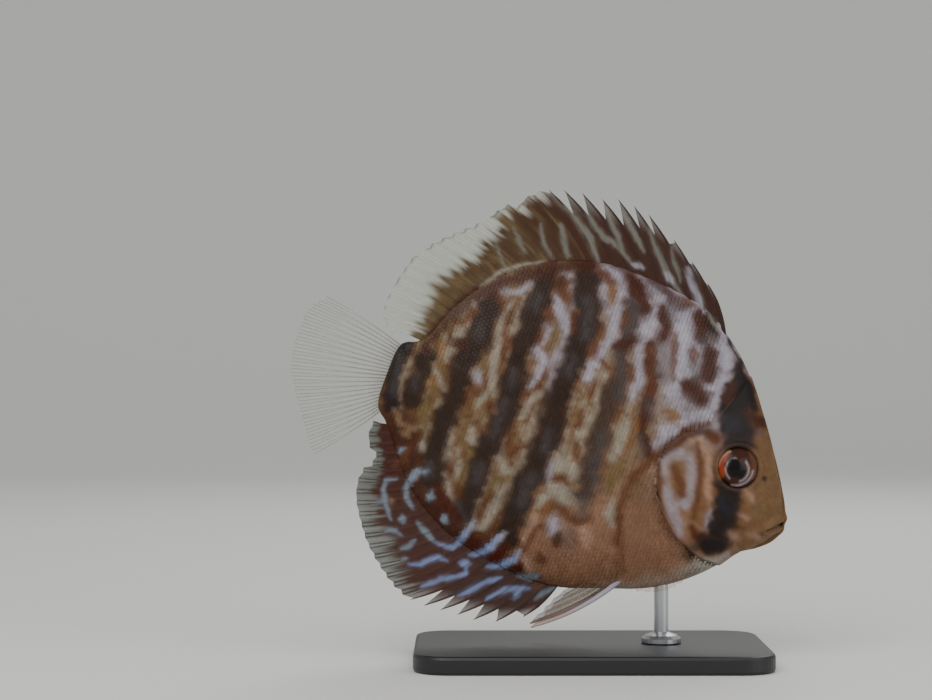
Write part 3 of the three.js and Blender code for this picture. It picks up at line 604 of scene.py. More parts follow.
class Painter:
    """Lays the marks on places of the fish. The left flank carries them a little differently."""

    def __init__(self, paints):
        self.paints = {name: np.array(colour) for name, colour in paints.items()}

    def warped(self, x, z, left, calm=0.0):
        """Places moved a little, so that edges are uneven and the flanks differ. `calm` evens them out."""
        across, up = x, z
        drift = np.where(left, 1.6, 0.0)
        for size, reach, across_seed, up_seed in (
                (0.9, 0.3 * (1 - 0.6 * calm), 11, 13), (2.8, 0.5 * (1 - calm), 15, 16), (14, drift, 12, 14)):
            across = across + reach * soft_noise(x, z, size, across_seed)
            up = up + reach * soft_noise(x, z, size, up_seed)
        return across, up

    def ground(self, x, z):
        """The ground colours run into each other."""
        total = np.zeros((len(x), 3))
        weight = np.zeros(len(x))
        for paint, pixel, reach in GROUNDS:
            middle_x, middle_z = fish_place(pixel)
            share = swell(np.hypot(x - middle_x, z - middle_z), 0, reach * MM_PER_PIXEL) + 1e-6
            total += share[:, None] * self.paints[paint]
            weight += share
        return total / weight[:, None]

    def worms(self, colours, x, z):
        """Faint broken lines of rust and cream along the bars, which fade towards head and belly."""
        across = x * BAR_LEAN[1] - z * BAR_LEAN[0]
        along = x * BAR_LEAN[0] + z * BAR_LEAN[1]
        lines = soft_noise(across, along / 2.6, 1.25, seed=23)
        lines += 0.5 * soft_noise(across, along / 1.6, 0.8, seed=24)
        away = np.hypot(x - WORM_MIDDLE[0], z - WORM_MIDDLE[1])
        reach = smooth_step(WORM_REACH, 0.6 * WORM_REACH, away) * smooth_step(0, -5, ahead_of_gills(x, z))
        for paint, none, full in (("rust", 0.05, 0.5), ("cream", -0.1, -0.6)):
            cover = WORM_COVER * smooth_step(none, full, lines) * reach
            colours += cover[:, None] * (self.paints[paint] - colours)

    def lay(self, colours, x, z, marks, strength=1.0, softness=1.0, taper=0.0):
        """Paints the marks over the colours, each of uneven width and narrower towards its ends."""
        for paint, width, *pixels in marks:
            path = np.array([fish_place(pixel) for pixel in pixels])
            half = width * MM_PER_PIXEL / 2
            soft = (0.18 + 0.06 * half) * softness
            edge = 1.3 * half + 5 * soft
            (low_x, low_z), (high_x, high_z) = path.min(axis=0) - edge, path.max(axis=0) + edge
            near = (x > low_x) & (x < high_x) & (z > low_z) & (z < high_z)
            if not near.any():
                continue
            distance, share, _ = nearest_on_path(x[near], z[near], path)
            uneven = half * (1 + 0.28 * soft_noise(x[near], z[near], 1.7, seed=17))
            uneven *= 1 - taper * np.abs(2 * share - 1) ** 2.5
            cover = strength / (1 + np.exp((distance - uneven) / soft))
            colours[near] += cover[:, None] * (self.paints[paint] - colours[near])

    def flank(self, x, z, left):
        """Colours of the body and head."""
        wx, wz = self.warped(x, z, left, 0.8 * smooth_step(-4, 2, ahead_of_gills(x, z)))
        colours = self.ground(wx, wz)
        self.worms(colours, wx, wz)
        for layer in FLANK_LAYERS:
            self.lay(colours, wx, wz, *layer)
        mottle = 1 + sum(strength * soft_noise(x, z, size, seed) for strength, size, seed in MOTTLE)
        return np.clip(colours * mottle[:, None], 0, 1)


# Materials
def node(tree, kind, settings=None, links=None):
    """Adds a node, with its settings by property or socket name and links by socket name."""
    made = tree.nodes.new(kind)
    for name, value in (settings or {}).items():
        if hasattr(made, name):
            setattr(made, name, value)
        else:
            made.inputs[name].default_value = value
    for name, source in (links or {}).items():
        tree.links.new(source, made.inputs[name])
    return made


def new_material(name):
    """An empty material and its node tree, with the output node in place."""
    material = bpy.data.materials.new(name)
    material.use_nodes = True
    tree = material.node_tree
    tree.nodes.clear()
    return material, tree


def finished(tree, settings, links):
    """Adds the shader with its settings and links and joins it to the material's output."""
    shader = node(tree, "ShaderNodeBsdfPrincipled", settings, links)
    node(tree, "ShaderNodeOutputMaterial", links={"Surface": shader.outputs["BSDF"]})


def bumps(tree, apart, height, detail, strength):
    """Fine bumps this far apart and this high in millimetres."""
    place = node(tree, "ShaderNodeTexCoord")
    noise = node(tree, "ShaderNodeTexNoise", {"Scale": 1 / (apart * MM), "Detail": detail},
                 {"Vector": place.outputs["Object"]})
    bump = node(tree, "ShaderNodeBump", {"Strength": strength, "Distance": height * MM},
                {"Height": noise.outputs["Fac"]})
    return bump.outputs["Normal"]


def painted(name, settings, pores=None, see_through=False):
    """A material that takes its colour, and its cover if it is see-through, from the paint on the mesh."""
    material, tree = new_material(name)
    paint = node(tree, "ShaderNodeAttribute", {"attribute_name": "Paint"})
    links = {"Base Color": paint.outputs["Color"]}
    if pores:
        links["Normal"] = bumps(tree, *pores)
    if see_through:
        links["Alpha"] = paint.outputs["Alpha"]
    finished(tree, settings, links)
    return material


def mucus_coated_skin():
    """Fish skin under its film of mucus: soft colour below, a wet and even gloss on top."""
    # Fine pores about 0.35 mm apart
    return painted("Mucus coated fish skin",
                   {"Roughness": 0.45, "IOR": 1.38, "Specular IOR Level": 0.22, "Coat Weight": 0.1,
                    "Coat Roughness": 0.15, "Coat IOR": 1.34},
                   pores=(0.35, 0.06, 3.0, 0.25))


def guanine_scales():
    """Thin bony scales backed by guanine crystals: the skin's colours with a silky glint."""
    return painted("Guanine backed fish scale",
                   {"Roughness": 0.4, "IOR": 1.38, "Specular IOR Level": 0.25, "Coat Weight": 0.1,
                    "Coat Roughness": 0.15, "Coat IOR": 1.34})


def fin_membrane():
    """Wet fin membrane: clear and glossy where it has no colour cells, opaque where it has."""
    return painted("Wet fin membrane", {"Roughness": 0.42, "IOR": 1.38, "Specular IOR Level": 0.12},
                   see_through=True)


def wet_eye():
    """Iris and pupil under a clear wet cornea: deep colours below a sharp, bright gloss."""
    return painted("Wet eye", {"Roughness": 0.4, "IOR": 1.34, "Specular IOR Level": 0.2, "Coat Weight": 0.4,
                               "Coat Roughness": 0.03, "Coat IOR": 1.34})


def powder_coated_aluminium():
    """Black powder-coated aluminium: a satin sheen over the fine orange peel of baked powder."""
    material, tree = new_material("Black powder coated aluminium")
    # Orange peel about 0.8 mm from crest to crest
    peel = bumps(tree, 0.8, 0.04, 1.0, 0.3)
    finished(tree, {"Base Color": (*linear("#1d1d1f"), 1), "Roughness": 0.42, "IOR": 1.5}, {"Normal": peel})
    return material


def brushed_steel():
    """Stainless steel rod brushed round its length: grey metal with fine rings of light."""
    material, tree = new_material("Brushed stainless steel")
    place = node(tree, "ShaderNodeTexCoord")
    # Brush marks about 0.12 mm apart up the rod, drawn out round it
    stretch = node(tree, "ShaderNodeMapping", {"Scale": (40.0, 40.0, 1 / (0.12 * MM))},
                   {"Vector": place.outputs["Object"]})
    marks = node(tree, "ShaderNodeTexNoise", {"Scale": 1.0, "Detail": 2.0},
                 {"Vector": stretch.outputs["Vector"]})
    rough = node(tree, "ShaderNodeMapRange", {"To Min": 0.24, "To Max": 0.42},
                 {"Value": marks.outputs["Fac"]})
    finished(tree, {"Base Color": (*linear("#b9bbbe"), 1), "Metallic": 1.0},
             {"Roughness": rough.outputs["Result"]})
    return material


def studio_paper(colour):
    """Matt seamless studio paper, rolled down behind the model and over the floor."""
    material, tree = new_material("Seamless studio paper")
    finished(tree, {"Base Color": (*colour, 1), "Roughness": 0.85, "IOR": 1.45}, {})
    return material


# Meshes
def new_mesh_object(name, points, faces, material):
    """A smooth-shaded mesh object with one material, linked to the scene."""
    mesh = bpy.data.meshes.new(name)
    mesh.from_pydata(np.asarray(points).tolist(), [], faces)
    mesh.materials.append(material)
    mesh.shade_smooth()
    made = bpy.data.objects.new(name, mesh)
    bpy.context.collection.objects.link(made)
    return made


def set_paint(made, colours, cover=None):
    """Keeps a colour, and how much it covers, on each corner point of the mesh."""
    count = len(made.data.vertices)
    values = np.ones((count, 4), np.float32)
    values[:, :3] = colours
    if cover is not None:
        values[:, 3] = cover
    layer = made.data.attributes.new("Paint", "FLOAT_COLOR", "POINT")
    layer.data.foreach_set("color", values.ravel())


def point_normals(made):
    """Outward directions at the points of a mesh."""
    normals = np.empty(len(made.data.vertices) * 3, np.float32)
    made.data.vertex_normals.foreach_get("vector", normals)
    return normals.reshape(-1, 3)


def move_points(made, points):
    """Gives the mesh new places for its points."""
    made.data.vertices.foreach_set("co", np.asarray(points, np.float32).ravel())
    made.data.update()


def strip_faces(rows, across, close_across=False):
    """Four-sided faces over a grid of points numbered row by row."""
    last = across if close_across else across - 1
    faces = []
    for r in range(rows - 1):
        for i in range(last):
            j = (i + 1) % across
            faces.append((r * across + i, r * across + j, (r + 1) * across + j, (r + 1) * across + i))
    return faces


# Skin: rows of points round its rim, and how far to the side the flank begins
RIM_ROWS = 7
FLANK_FROM = 1.0
# Swellings and hollows of the skin: the distance they lie at, their width, and their height
GILL_GROOVE = (-0.7, 0.6, 0.22)
CHEEK_BEND = (6.5, 0.7, 0.18)
SOCKET_RIM = (0.3, 0.65, 0.4)
SOCKET_DEPTH = 2.2
NOSTRIL_RIM = (0.95, 0.3, 0.12)
NOSTRIL_PIT = (0, 0.55, 0.75)
LIP_WIDTH = 1.25
MOUTH_SLIT = (0, 0.42, 1.15)


def lip_path(rise):
    """The line in space that a lip follows from one mouth corner round the snout to the other."""
    front, corner = np.array(MOUTH["front"]), np.array(MOUTH["corner"])
    cheek = corner + (front - corner) * 0.62 + (0, 0.8 * rise)
    left = [(corner[0], MOUTH["width"], corner[1]), (cheek[0], 0.82 * MOUTH["width"], cheek[1])]
    right = [(x, -y, z) for x, y, z in left]
    return smooth_path([*right, (front[0], 0, front[1] + rise), *left[::-1]], np.linspace(0, 1, 31))


def near_mouth(points):
    """Which points are near enough to the mouth to feel its lips."""
    return np.hypot(points[:, 0] - MOUTH["middle"][0], points[:, 2] - MOUTH["middle"][1]) < MOUTH["reach"]


def skin_relief(points, lift, lip):
    """How far the skin rises over the plain body: gill cover, cheek, eye sockets, nostrils and lips."""
    x, y, z = points.T
    ahead = ahead_of_gills(x, z)
    cover = lift * np.clip(1 - ahead / 8, 0, 1) * smooth_step(-0.25, 0.45, ahead)
    groove = swell(ahead, *GILL_GROOVE) * smooth_step(30, 24, z)
    # A shallow bend of the cheek bone in front of the gill cover
    cheek = swell(ahead, *CHEEK_BEND) * smooth_step(12, 4, z)
    rise = np.where(np.abs(y) > FLANK_FROM, cover - groove - cheek, 0)
    away = np.hypot(x - EYE["x"], z - EYE["z"]) - EYE["radius"]
    rise += swell(away, *SOCKET_RIM) - SOCKET_DEPTH * smooth_step(-0.35, -1.2, away)
    pit = np.hypot(x - NOSTRIL[0], z - NOSTRIL[1])
    rise += swell(pit, *NOSTRIL_RIM) - swell(pit, *NOSTRIL_PIT)
    near = near_mouth(points)
    for line in (-MOUTH["part"], MOUTH["part"]):
        rise[near] += swell(space_distance(points[near], lip_path(line)), 0, LIP_WIDTH, lip)
    rise[near] -= swell(space_distance(points[near], lip_path(0)), *MOUTH_SLIT)
    return rise


def outline_samples(settings):
    """Samples of the outline, closer together round the head than round the trunk."""
    steps = []
    for here, after in zip(OUTLINE, np.roll(OUTLINE, -1, axis=0)):
        on_head = min(here[0], after[0]) >= HEAD_STARTS_AT
        spacing = (settings.head_detail if on_head else settings.trunk_detail) / MM
        steps.append(max(2, round(math.dist(here[:2], after[:2]) / spacing)))
    return closed_outline(steps)


def flank_rows(samples, rings, side):
    """Rows of points of one flank, from near its middle out to the rim."""
    beyond = beyond_at(samples[:, 4])
    rows = []
    for r in range(1, rings + 1):
        ring = math.sin(math.pi / 2 * r / rings)
        flat = BODY_CENTRE + (samples[:, :2] - BODY_CENTRE) * ring
        half = flank_thickness(flat[:, 0], ring, samples[:, 2], samples[:, 3], beyond)
        rows.append(np.stack([flat[:, 0], side * half, flat[:, 1]], axis=1))
    return rows


def rim_rows(samples):
    """Rows of points round the rim, from the left flank over to the right."""
    tangent = unit(np.roll(samples[:, :2], -1, axis=0) - np.roll(samples[:, :2], 1, axis=0))
    outward = np.stack([tangent[:, 1], -tangent[:, 0]], axis=1)
    outward *= np.sign(np.sum(outward * (samples[:, :2] - BODY_CENTRE), axis=1))[:, None]
    rim = samples[:, 2]
    rows = []
    for turn in math.pi * np.arange(1, RIM_ROWS + 1) / (RIM_ROWS + 1):
        flat = samples[:, :2] + outward * (0.35 * rim * math.sin(turn))[:, None]
        rows.append(np.stack([flat[:, 0], rim * math.cos(turn), flat[:, 1]], axis=1))
    return rows


def make_skin(settings, painter, material):
    """One closed skin over head, trunk and tail stem, as rings from its middle out to the rim."""
    samples = outline_samples(settings)
    around = len(samples)
    right = flank_rows(samples, settings.rings, -1)
    rows = flank_rows(samples, settings.rings, 1) + rim_rows(samples) + right[::-1]
    faces = strip_faces(len(rows), around, close_across=True)
    left_pole = len(rows) * around
    last_row = left_pole - around
    for i in range(around):
        j = (i + 1) % around
        faces.append((left_pole, j, i))
        faces.append((left_pole + 1, last_row + i, last_row + j))
    middle = flank_thickness(BODY_CENTRE[0], 0.0, 1.0, 1.0, 1.0)
    poles = [(BODY_CENTRE[0], y, BODY_CENTRE[1]) for y in (middle, -middle)]
    points = np.vstack([*rows, poles])
    skin = new_mesh_object("skin", points, faces, material)
    turn_outward(skin, points)
    normals = point_normals(skin)
    relief = skin_relief(points, settings.cover_lift / MM, settings.lip_height / MM)
    points = points + normals * relief[:, None]
    # Where the skin turns over the forehead, back and belly, the marks wander and don't run straight across
    x, y, z = points.T
    wander = 1.6 * (1 - np.abs(normals[:, 1]))
    across = x + wander * soft_noise(y, z, 1.6, seed=31)
    up = z + wander * soft_noise(y, z, 1.6, seed=32)
    colours = painter.flank(across, up, y > 0)
    shade_folds(colours, points, painter)
    move_points(skin, posed(points))
    set_paint(skin, colours)
    return skin


def shade_folds(colours, points, painter):
    """Paints shade into the slit of the mouth, the nostrils and the fold behind the gill cover."""
    x, y, z = points.T
    near = near_mouth(points)
    slit = np.zeros(len(points))
    slit[near] = swell(space_distance(points[near], lip_path(0)), 0, 0.5)
    pit = swell(np.hypot(x - NOSTRIL[0], z - NOSTRIL[1]), 0, 0.6)
    fold = swell(ahead_of_gills(x, z), -0.35, 0.5) * (np.abs(y) > FLANK_FROM) * smooth_step(20, 12, z)
    # How much painted shade falls in the slit, the nostril pits and the gill fold
    dark = np.clip(0.8 * slit + 0.85 * pit + 0.55 * fold, 0, 0.92)
    colours += dark[:, None] * (painter.paints["umber"] * 0.5 - colours)


# Scales: the length of a scale for the gap between scales, its root's height over the skin, and its patch
# on the baking map
SCALE_SIZE = 1.32
SCALE_SEAT = 0.02
SCALE_PATCH = 0.003


def scale_shape(material):
    """One scale, a thin curved shield 1 mm long and wide, its root at the origin."""
    turns = 7
    root_x, heel, crown = -0.35, (-0.3, 0.5, -0.06), (0.12, 0, 0.12)
    points = [(root_x, 0, 0.0)]
    for angle in np.linspace(-math.pi / 2, math.pi / 2, turns):
        x, y = 0.18 + 0.42 * math.cos(angle), 0.56 * math.sin(angle)
        points.append((x, y, 0.085 - 0.2 * y * y + 0.07 * x))
    points += [heel, (heel[0], -heel[1], heel[2]), crown]
    centre = len(points) - 1
    ring = [0, turns + 2, *range(1, turns + 1), turns + 1]
    faces = [(centre, a, b) for a, b in zip(ring, ring[1:] + ring[:1])]
    scale = new_mesh_object("scale_pattern", np.array(points) * MM, faces, material)
    return scale, len(points)


# The coat's front edge on the nape, along the rear of the dark bar through the eye
COAT_FRONT = np.array([fish_place(pixel) for pixel in ((712, 416), (720, 392), (732, 350), (738, 330))])


def scale_roots(side, spacing):
    """Where the scales of one flank root: places, outward directions, the way to the tail and sizes."""
    row_gap, column_gap = 0.95 * spacing, 0.82 * spacing
    rows_x = np.arange(-4, 100, column_gap)
    rows_z = np.arange(-40, 48, row_gap)
    grid_x, grid_z = np.meshgrid(rows_x, rows_z, indexing="ij")
    grid_z = grid_z + (np.arange(len(rows_x)) % 2)[:, None] * row_gap / 2
    # The rows bow with the body, upwards over its middle
    x = grid_x.ravel()
    z = grid_z.ravel() + 3.5 * np.sin(np.clip((x - 5) / 75, 0, 1) * math.pi)
    random = np.random.default_rng(31)
    x = x + random.normal(0, 0.05 * spacing, x.shape)
    z = z + random.normal(0, 0.05 * spacing, z.shape)
    ring, half = FLANK.read(x, z)
    behind_gills = -ahead_of_gills(x, z)
    behind_bar = np.interp(z, COAT_FRONT[:, 1], COAT_FRONT[:, 0]) - x
    behind = np.where(z < COAT_FRONT[0, 1], behind_gills, behind_bar)
    keep = (ring < 0.985) & (behind_gills > 0.15) & (behind > 0.15) & (half > 1.0)
    x, z, ring, half, behind = x[keep], z[keep], ring[keep], half[keep], behind[keep]
    slope_x, slope_z = FLANK.slopes(x, z, 0.4)
    outward = unit(np.stack([-slope_x, np.full(len(x), side, float), -slope_z], axis=1))
    tailward = np.tile([-1.0, 0.0, 0.0], (len(x), 1))
    tailward = unit(tailward - np.sum(tailward * outward, axis=1)[:, None] * outward)
    places = np.stack([x, side * half, z], axis=1)
    growth = (0.9 + 0.25 * smooth_step(1.0, 0.6, ring)) * random.uniform(0.94, 1.06, len(x))
    growth *= 0.55 + 0.45 * smooth_step(0.0, 3.5, behind)
    return places, outward, tailward, growth, ring


def scale_tree(scale, material):
    """Geometry Nodes: a scale on each root, turned and sized by the roots' own values."""
    tree = bpy.data.node_groups.new("Scale coat", "GeometryNodeTree")
    tree.interface.new_socket("Roots", in_out="INPUT", socket_type="NodeSocketGeometry")
    size = tree.interface.new_socket("Scale size", in_out="INPUT", socket_type="NodeSocketFloat")
    tree.interface.new_socket("Coat", in_out="OUTPUT", socket_type="NodeSocketGeometry")
    roots = node(tree, "NodeGroupInput")
    turn = node(tree, "GeometryNodeInputNamedAttribute", {"data_type": "FLOAT_VECTOR", "Name": "turn"})
    growth = node(tree, "GeometryNodeInputNamedAttribute", {"data_type": "FLOAT", "Name": "growth"})
    rotation = node(tree, "FunctionNodeEulerToRotation", links={"Euler": turn.outputs["Attribute"]})
    sized = node(tree, "ShaderNodeMath", {"operation": "MULTIPLY"})
    tree.links.new(growth.outputs["Attribute"], sized.inputs[0])
    tree.links.new(roots.outputs["Scale size"], sized.inputs[1])
    pattern = node(tree, "GeometryNodeObjectInfo", {"Object": scale})
    placed = node(tree, "GeometryNodeInstanceOnPoints", links={
        "Points": roots.outputs["Roots"],
        "Instance": pattern.outputs["Geometry"],
        "Rotation": rotation.outputs["Rotation"],
        "Scale": sized.outputs["Value"],
    })
    real = node(tree, "GeometryNodeRealizeInstances", links={"Geometry": placed.outputs["Instances"]})
    dressed = node(
        tree, "GeometryNodeSetMaterial", {"Material": material}, {"Geometry": real.outputs["Geometry"]})
    node(tree, "NodeGroupOutput", links={"Coat": dressed.outputs["Geometry"]})
    return tree, size.identifier


def make_scales(settings, painter, material, side, name):
    """The coat of scales of one flank, laid from tail to head like tiles."""
    spacing = settings.scale_spacing / MM
    places, outward, tailward, growth, ring = scale_roots(side, spacing)
    tilt = math.radians(settings.scale_tilt)
    along = tailward * math.cos(tilt) + outward * math.sin(tilt)
    normal = outward * math.cos(tilt) - tailward * math.sin(tilt)
    seats = places + outward * SCALE_SEAT
    metres = posed(seats)
    turns = []
    for x_way, z_way in zip((posed(seats + along) - metres) / MM, (posed(seats + normal) - metres) / MM):
        y_way = np.cross(z_way, x_way)
        turns.append(Matrix(np.stack([x_way, y_way, z_way], axis=1).tolist()).to_euler())
    roots = bpy.data.meshes.new(name + "_roots")
    roots.from_pydata(metres.tolist(), [], [])
    for label, kind, field, values in (
            ("turn", "FLOAT_VECTOR", "vector", turns), ("growth", "FLOAT", "value", growth)):
        layer = roots.attributes.new(label, kind, "POINT")
        layer.data.foreach_set(field, np.array(values, np.float32).ravel())
    holder = bpy.data.objects.new(name + "_holder", roots)
    bpy.context.collection.objects.link(holder)
    scale, corners = scale_shape(material)
    tree, size_id = scale_tree(scale, material)
    modifier = holder.modifiers.new("Scale coat", "NODES")
    modifier.node_group = tree
    modifier[size_id] = SCALE_SIZE * spacing
    graph = bpy.context.evaluated_depsgraph_get()
    mesh = bpy.data.meshes.new_from_object(holder.evaluated_get(graph), depsgraph=graph)
    holder.modifiers.remove(modifier)
    bpy.data.objects.remove(holder)
    bpy.data.objects.remove(scale)
    mesh.name = name
    mesh.shade_smooth()
    coat = bpy.data.objects.new(name, mesh)
    bpy.context.collection.objects.link(coat)
    if len(mesh.vertices) != corners * len(places):
        raise RuntimeError("the coat has an odd number of points")
    paint_scales(coat, painter, places, corners, side)
    lay_scale_map(mesh, places, ring, corners)
    return coat


def fish_points(mesh):
    """The mesh's points back in the fish frame, in millimetres."""
    points = np.empty(len(mesh.vertices) * 3, np.float32)
    mesh.vertices.foreach_get("co", points)
    x, y, z = (points.reshape(-1, 3) / MM - np.array(TAIL_ROOT)).T
    back_x = x * math.cos(PITCH_DOWN) - z * math.sin(PITCH_DOWN)
    back_z = x * math.sin(PITCH_DOWN) + z * math.cos(PITCH_DOWN)
    return np.stack([back_x, y, back_z], axis=1)


def paint_scales(coat, painter, places, corners, side):
    """Each scale takes the flank's colours, evened out a little, with painted shade at its root and painted
    light towards its free edge.
    """
    points = fish_points(coat.data)
    own = painter.flank(points[:, 0], points[:, 2], np.full(len(points), side > 0))
    root = painter.flank(places[:, 0], places[:, 2], np.full(len(places), side > 0))
    colours = mixed(own, np.repeat(root, corners, axis=0), 0.2)
    shade = np.repeat(np.random.default_rng(41).normal(1.0, 0.05, len(places)), corners)
    # Painted shade at the root of each scale and painted light towards its free edge
    toward_tail = np.repeat(places[:, 0], corners) - points[:, 0]
    edge = 1 + 0.11 * np.clip(toward_tail / 0.7, -1, 1)
    set_paint(coat, np.clip(colours * (shade * edge)[:, None], 0, 1))


def lay_scale_map(mesh, places, ring, corners):
    """A map for baking: each scale is a small patch at its root's place on the unrolled flank."""
    away = places[:, [0, 2]] - BODY_CENTRE
    direction = away / np.maximum(np.linalg.norm(away, axis=1), 1e-6)[:, None]
    spread = 0.5 + 0.49 * direction * ring[:, None]
    points = fish_points(mesh)[:, [0, 2]] - np.repeat(places[:, [0, 2]], corners, axis=0)
    reach = np.abs(points).max()
    corner_map = np.repeat(spread, corners, axis=0) + points / reach * SCALE_PATCH / 2
    layer = mesh.uv_layers.new(name="OFBake")
    loops = np.empty(len(mesh.loops), np.int32)
    mesh.loops.foreach_get("vertex_index", loops)
    layer.data.foreach_set("uv", corner_map[loops].astype(np.float32).ravel())


# Fins: their base lines along the outline, spine tips, margins, and how the paired fins stand off
BACK_BASE = OUTLINE[7:18, :2]
VENT_BASE = OUTLINE[21:29, :2][::-1]
BACK_SPINE_TIPS = [(66.9, 48.2), (61.3, 52.0), (55.2, 55.7), (47.2, 59.5), (42.9, 60.4), (38.6, 60.7),
                   (34.8, 59.4), (29.6, 59.1), (25.1, 58.3), (21.5, 57.1)]
BACK_MARGIN = [(21.5, 57.1), (17.2, 54.0), (15.4, 50.4), (12.5, 49.6), (9.0, 44.4), (2.0, 37.9),
               (-1.9, 33.9), (-5.1, 29.3), (-6.5, 24.3), (-7.5, 19.7), (-7.6, 14.6), (-5.6, 11.6)]
VENT_SPINE_TIPS = [(51.1, -46.0), (44.9, -49.5), (39.5, -50.9), (35.3, -51.0), (30.9, -51.3),
                   (26.6, -51.7), (23.0, -51.4)]
VENT_MARGIN = [(23.0, -51.4), (17.3, -48.9), (11.2, -44.4), (7.6, -40.9), (4.5, -36.7), (1.9, -32.3),
               (0.8, -28.7), (0.9, -24.9), (3.4, -20.6), (0.6, -18.4), (-0.7, -15.4), (-0.6, -12.8)]
TAIL_BASE = [(1.6, 7.2), (1.2, 0), (1.4, -7.2)]
TAIL_MARGIN = [(-22.3, 12.8), (-25.4, 8.6), (-26.0, 3.0), (-25.6, -2.1), (-24.4, -7.0), (-21.1, -12.5),
               (-17.3, -17.8), (-14.5, -22.1), (-12.3, -24.6)]
PECTORAL = {
    "base": [(69.2, 0.7), (69.6, -2.2), (70.4, -5.2)],
    "margin": [(70.6, -29.2), (75.0, -29.0), (79.6, -27.4), (83.2, -24.4), (85.3, -20.1)],
    "bow": (0.27, -0.06), "inset": 0.6, "spread": 6.5,
}
PELVIC = {
    "base": [(70.2, -29.6), (68.8, -28.1), (67.6, -26.7)],
    "margin": [(53.4, -47.3), (54.3, -45.1), (55.5, -42.6), (56.7, -40.0), (58.4, -37.3)],
    "apart": 3.1, "spread": 1.2,
}
# Looks of the dorsal and anal fin: the first soft ray, dark and light paints, how much lighter the rear is,
# how far up the soft rays the dark colour reaches from first to last, and the fringe's paint and cover
DORSAL_LOOK = {
    "soft_from": 9, "stiff": ("brown", "umber"), "inner": ("brown", "olive"), "rear_light": 0.85,
    "dark_reach": [(0, 1.0), (0.15, 0.97), (0.3, 0.84), (0.45, 0.58), (0.7, 0.44), (1, 0.3)],
    "fringe": "fringe", "fringe_cover": 0.7,
}
ANAL_LOOK = {
    "soft_from": 6, "stiff": ("redbrown", "char"), "inner": ("redbrown", "brown"), "rear_light": 0.0,
    "dark_reach": [(0, 0.9), (0.4, 0.74), (1, 0.62)],
    "fringe": "smoke", "fringe_cover": 0.75,
}
# A ray: its width, the height of its ridge, and how far the membrane reaches up its front and rear
SPINE = {"width": 1.3, "ridge": 0.42, "front": 0.62, "rear": 0.96, "forks": False}
SOFT = {"width": 0.62, "ridge": 0.2, "front": 0.995, "rear": 0.995, "forks": True}
STOUT = {"width": 1.3, "ridge": 0.6, "front": 0.995, "rear": 0.97, "forks": False}
# Points across a ray, where its two forks run, how far up they part, and how far they spread
ACROSS_RAY = (-1.0, -0.72, -0.4, 0.0, 0.4, 0.72, 1.0)
FORK = {"at": 0.72, "width": 0.24, "from": 0.42, "to": 0.7, "spread": 0.42}
# Gap between columns of membrane, and how high the scaly sheath of a fin's base fades out
COLUMN_GAP = 0.55
SHEATH_FADE = 3.0


class Ray:
    """One fin ray from root to tip, bowed by a share of its length."""

    def __init__(self, root, tip, bow, kind):
        self.root, self.tip, self.kind = np.array(root, float), np.array(tip, float), kind
        along = self.tip - self.root
        self.middle = (self.root + self.tip) / 2 + np.array([along[1], -along[0]]) * bow
        self.length = np.linalg.norm(along)

    def at(self, t):
        """Places at shares t of the ray; below 0 it runs straight on into the body."""
        s = np.maximum(t, 0)[:, None]
        bent = self.root * (1 - s) ** 2 + self.middle * 2 * s * (1 - s) + self.tip * s * s
        return bent + (self.middle - self.root) * 2 * np.minimum(t, 0)[:, None]

    def sideways(self, t):
        """Directions across the ray."""
        ahead = unit(self.at(t + 0.01) - self.at(t - 0.01))
        return np.stack([-ahead[:, 1], ahead[:, 0]], axis=1)


def spread_rays(roots, tips, start, end, count, bow, kind, skip_first=False):
    """Rays whose roots are spread evenly along one path and whose tips along another."""
    shares = np.linspace(0, 1, count)[1 if skip_first else 0:]
    root_at = smooth_path(roots, start + (end - start) * shares)
    tip_at = smooth_path(tips, shares)
    return [Ray(r, t, bow[0] + (bow[1] - bow[0]) * s, kind) for r, t, s in zip(root_at, tip_at, shares)]


def spine_rays(base, tips, start, end, bow):
    """Stiff spines to given tips."""
    roots = smooth_path(base, np.linspace(start, end, len(tips)))
    return [Ray(r, t, bow, SPINE) for r, t in zip(roots, tips)]


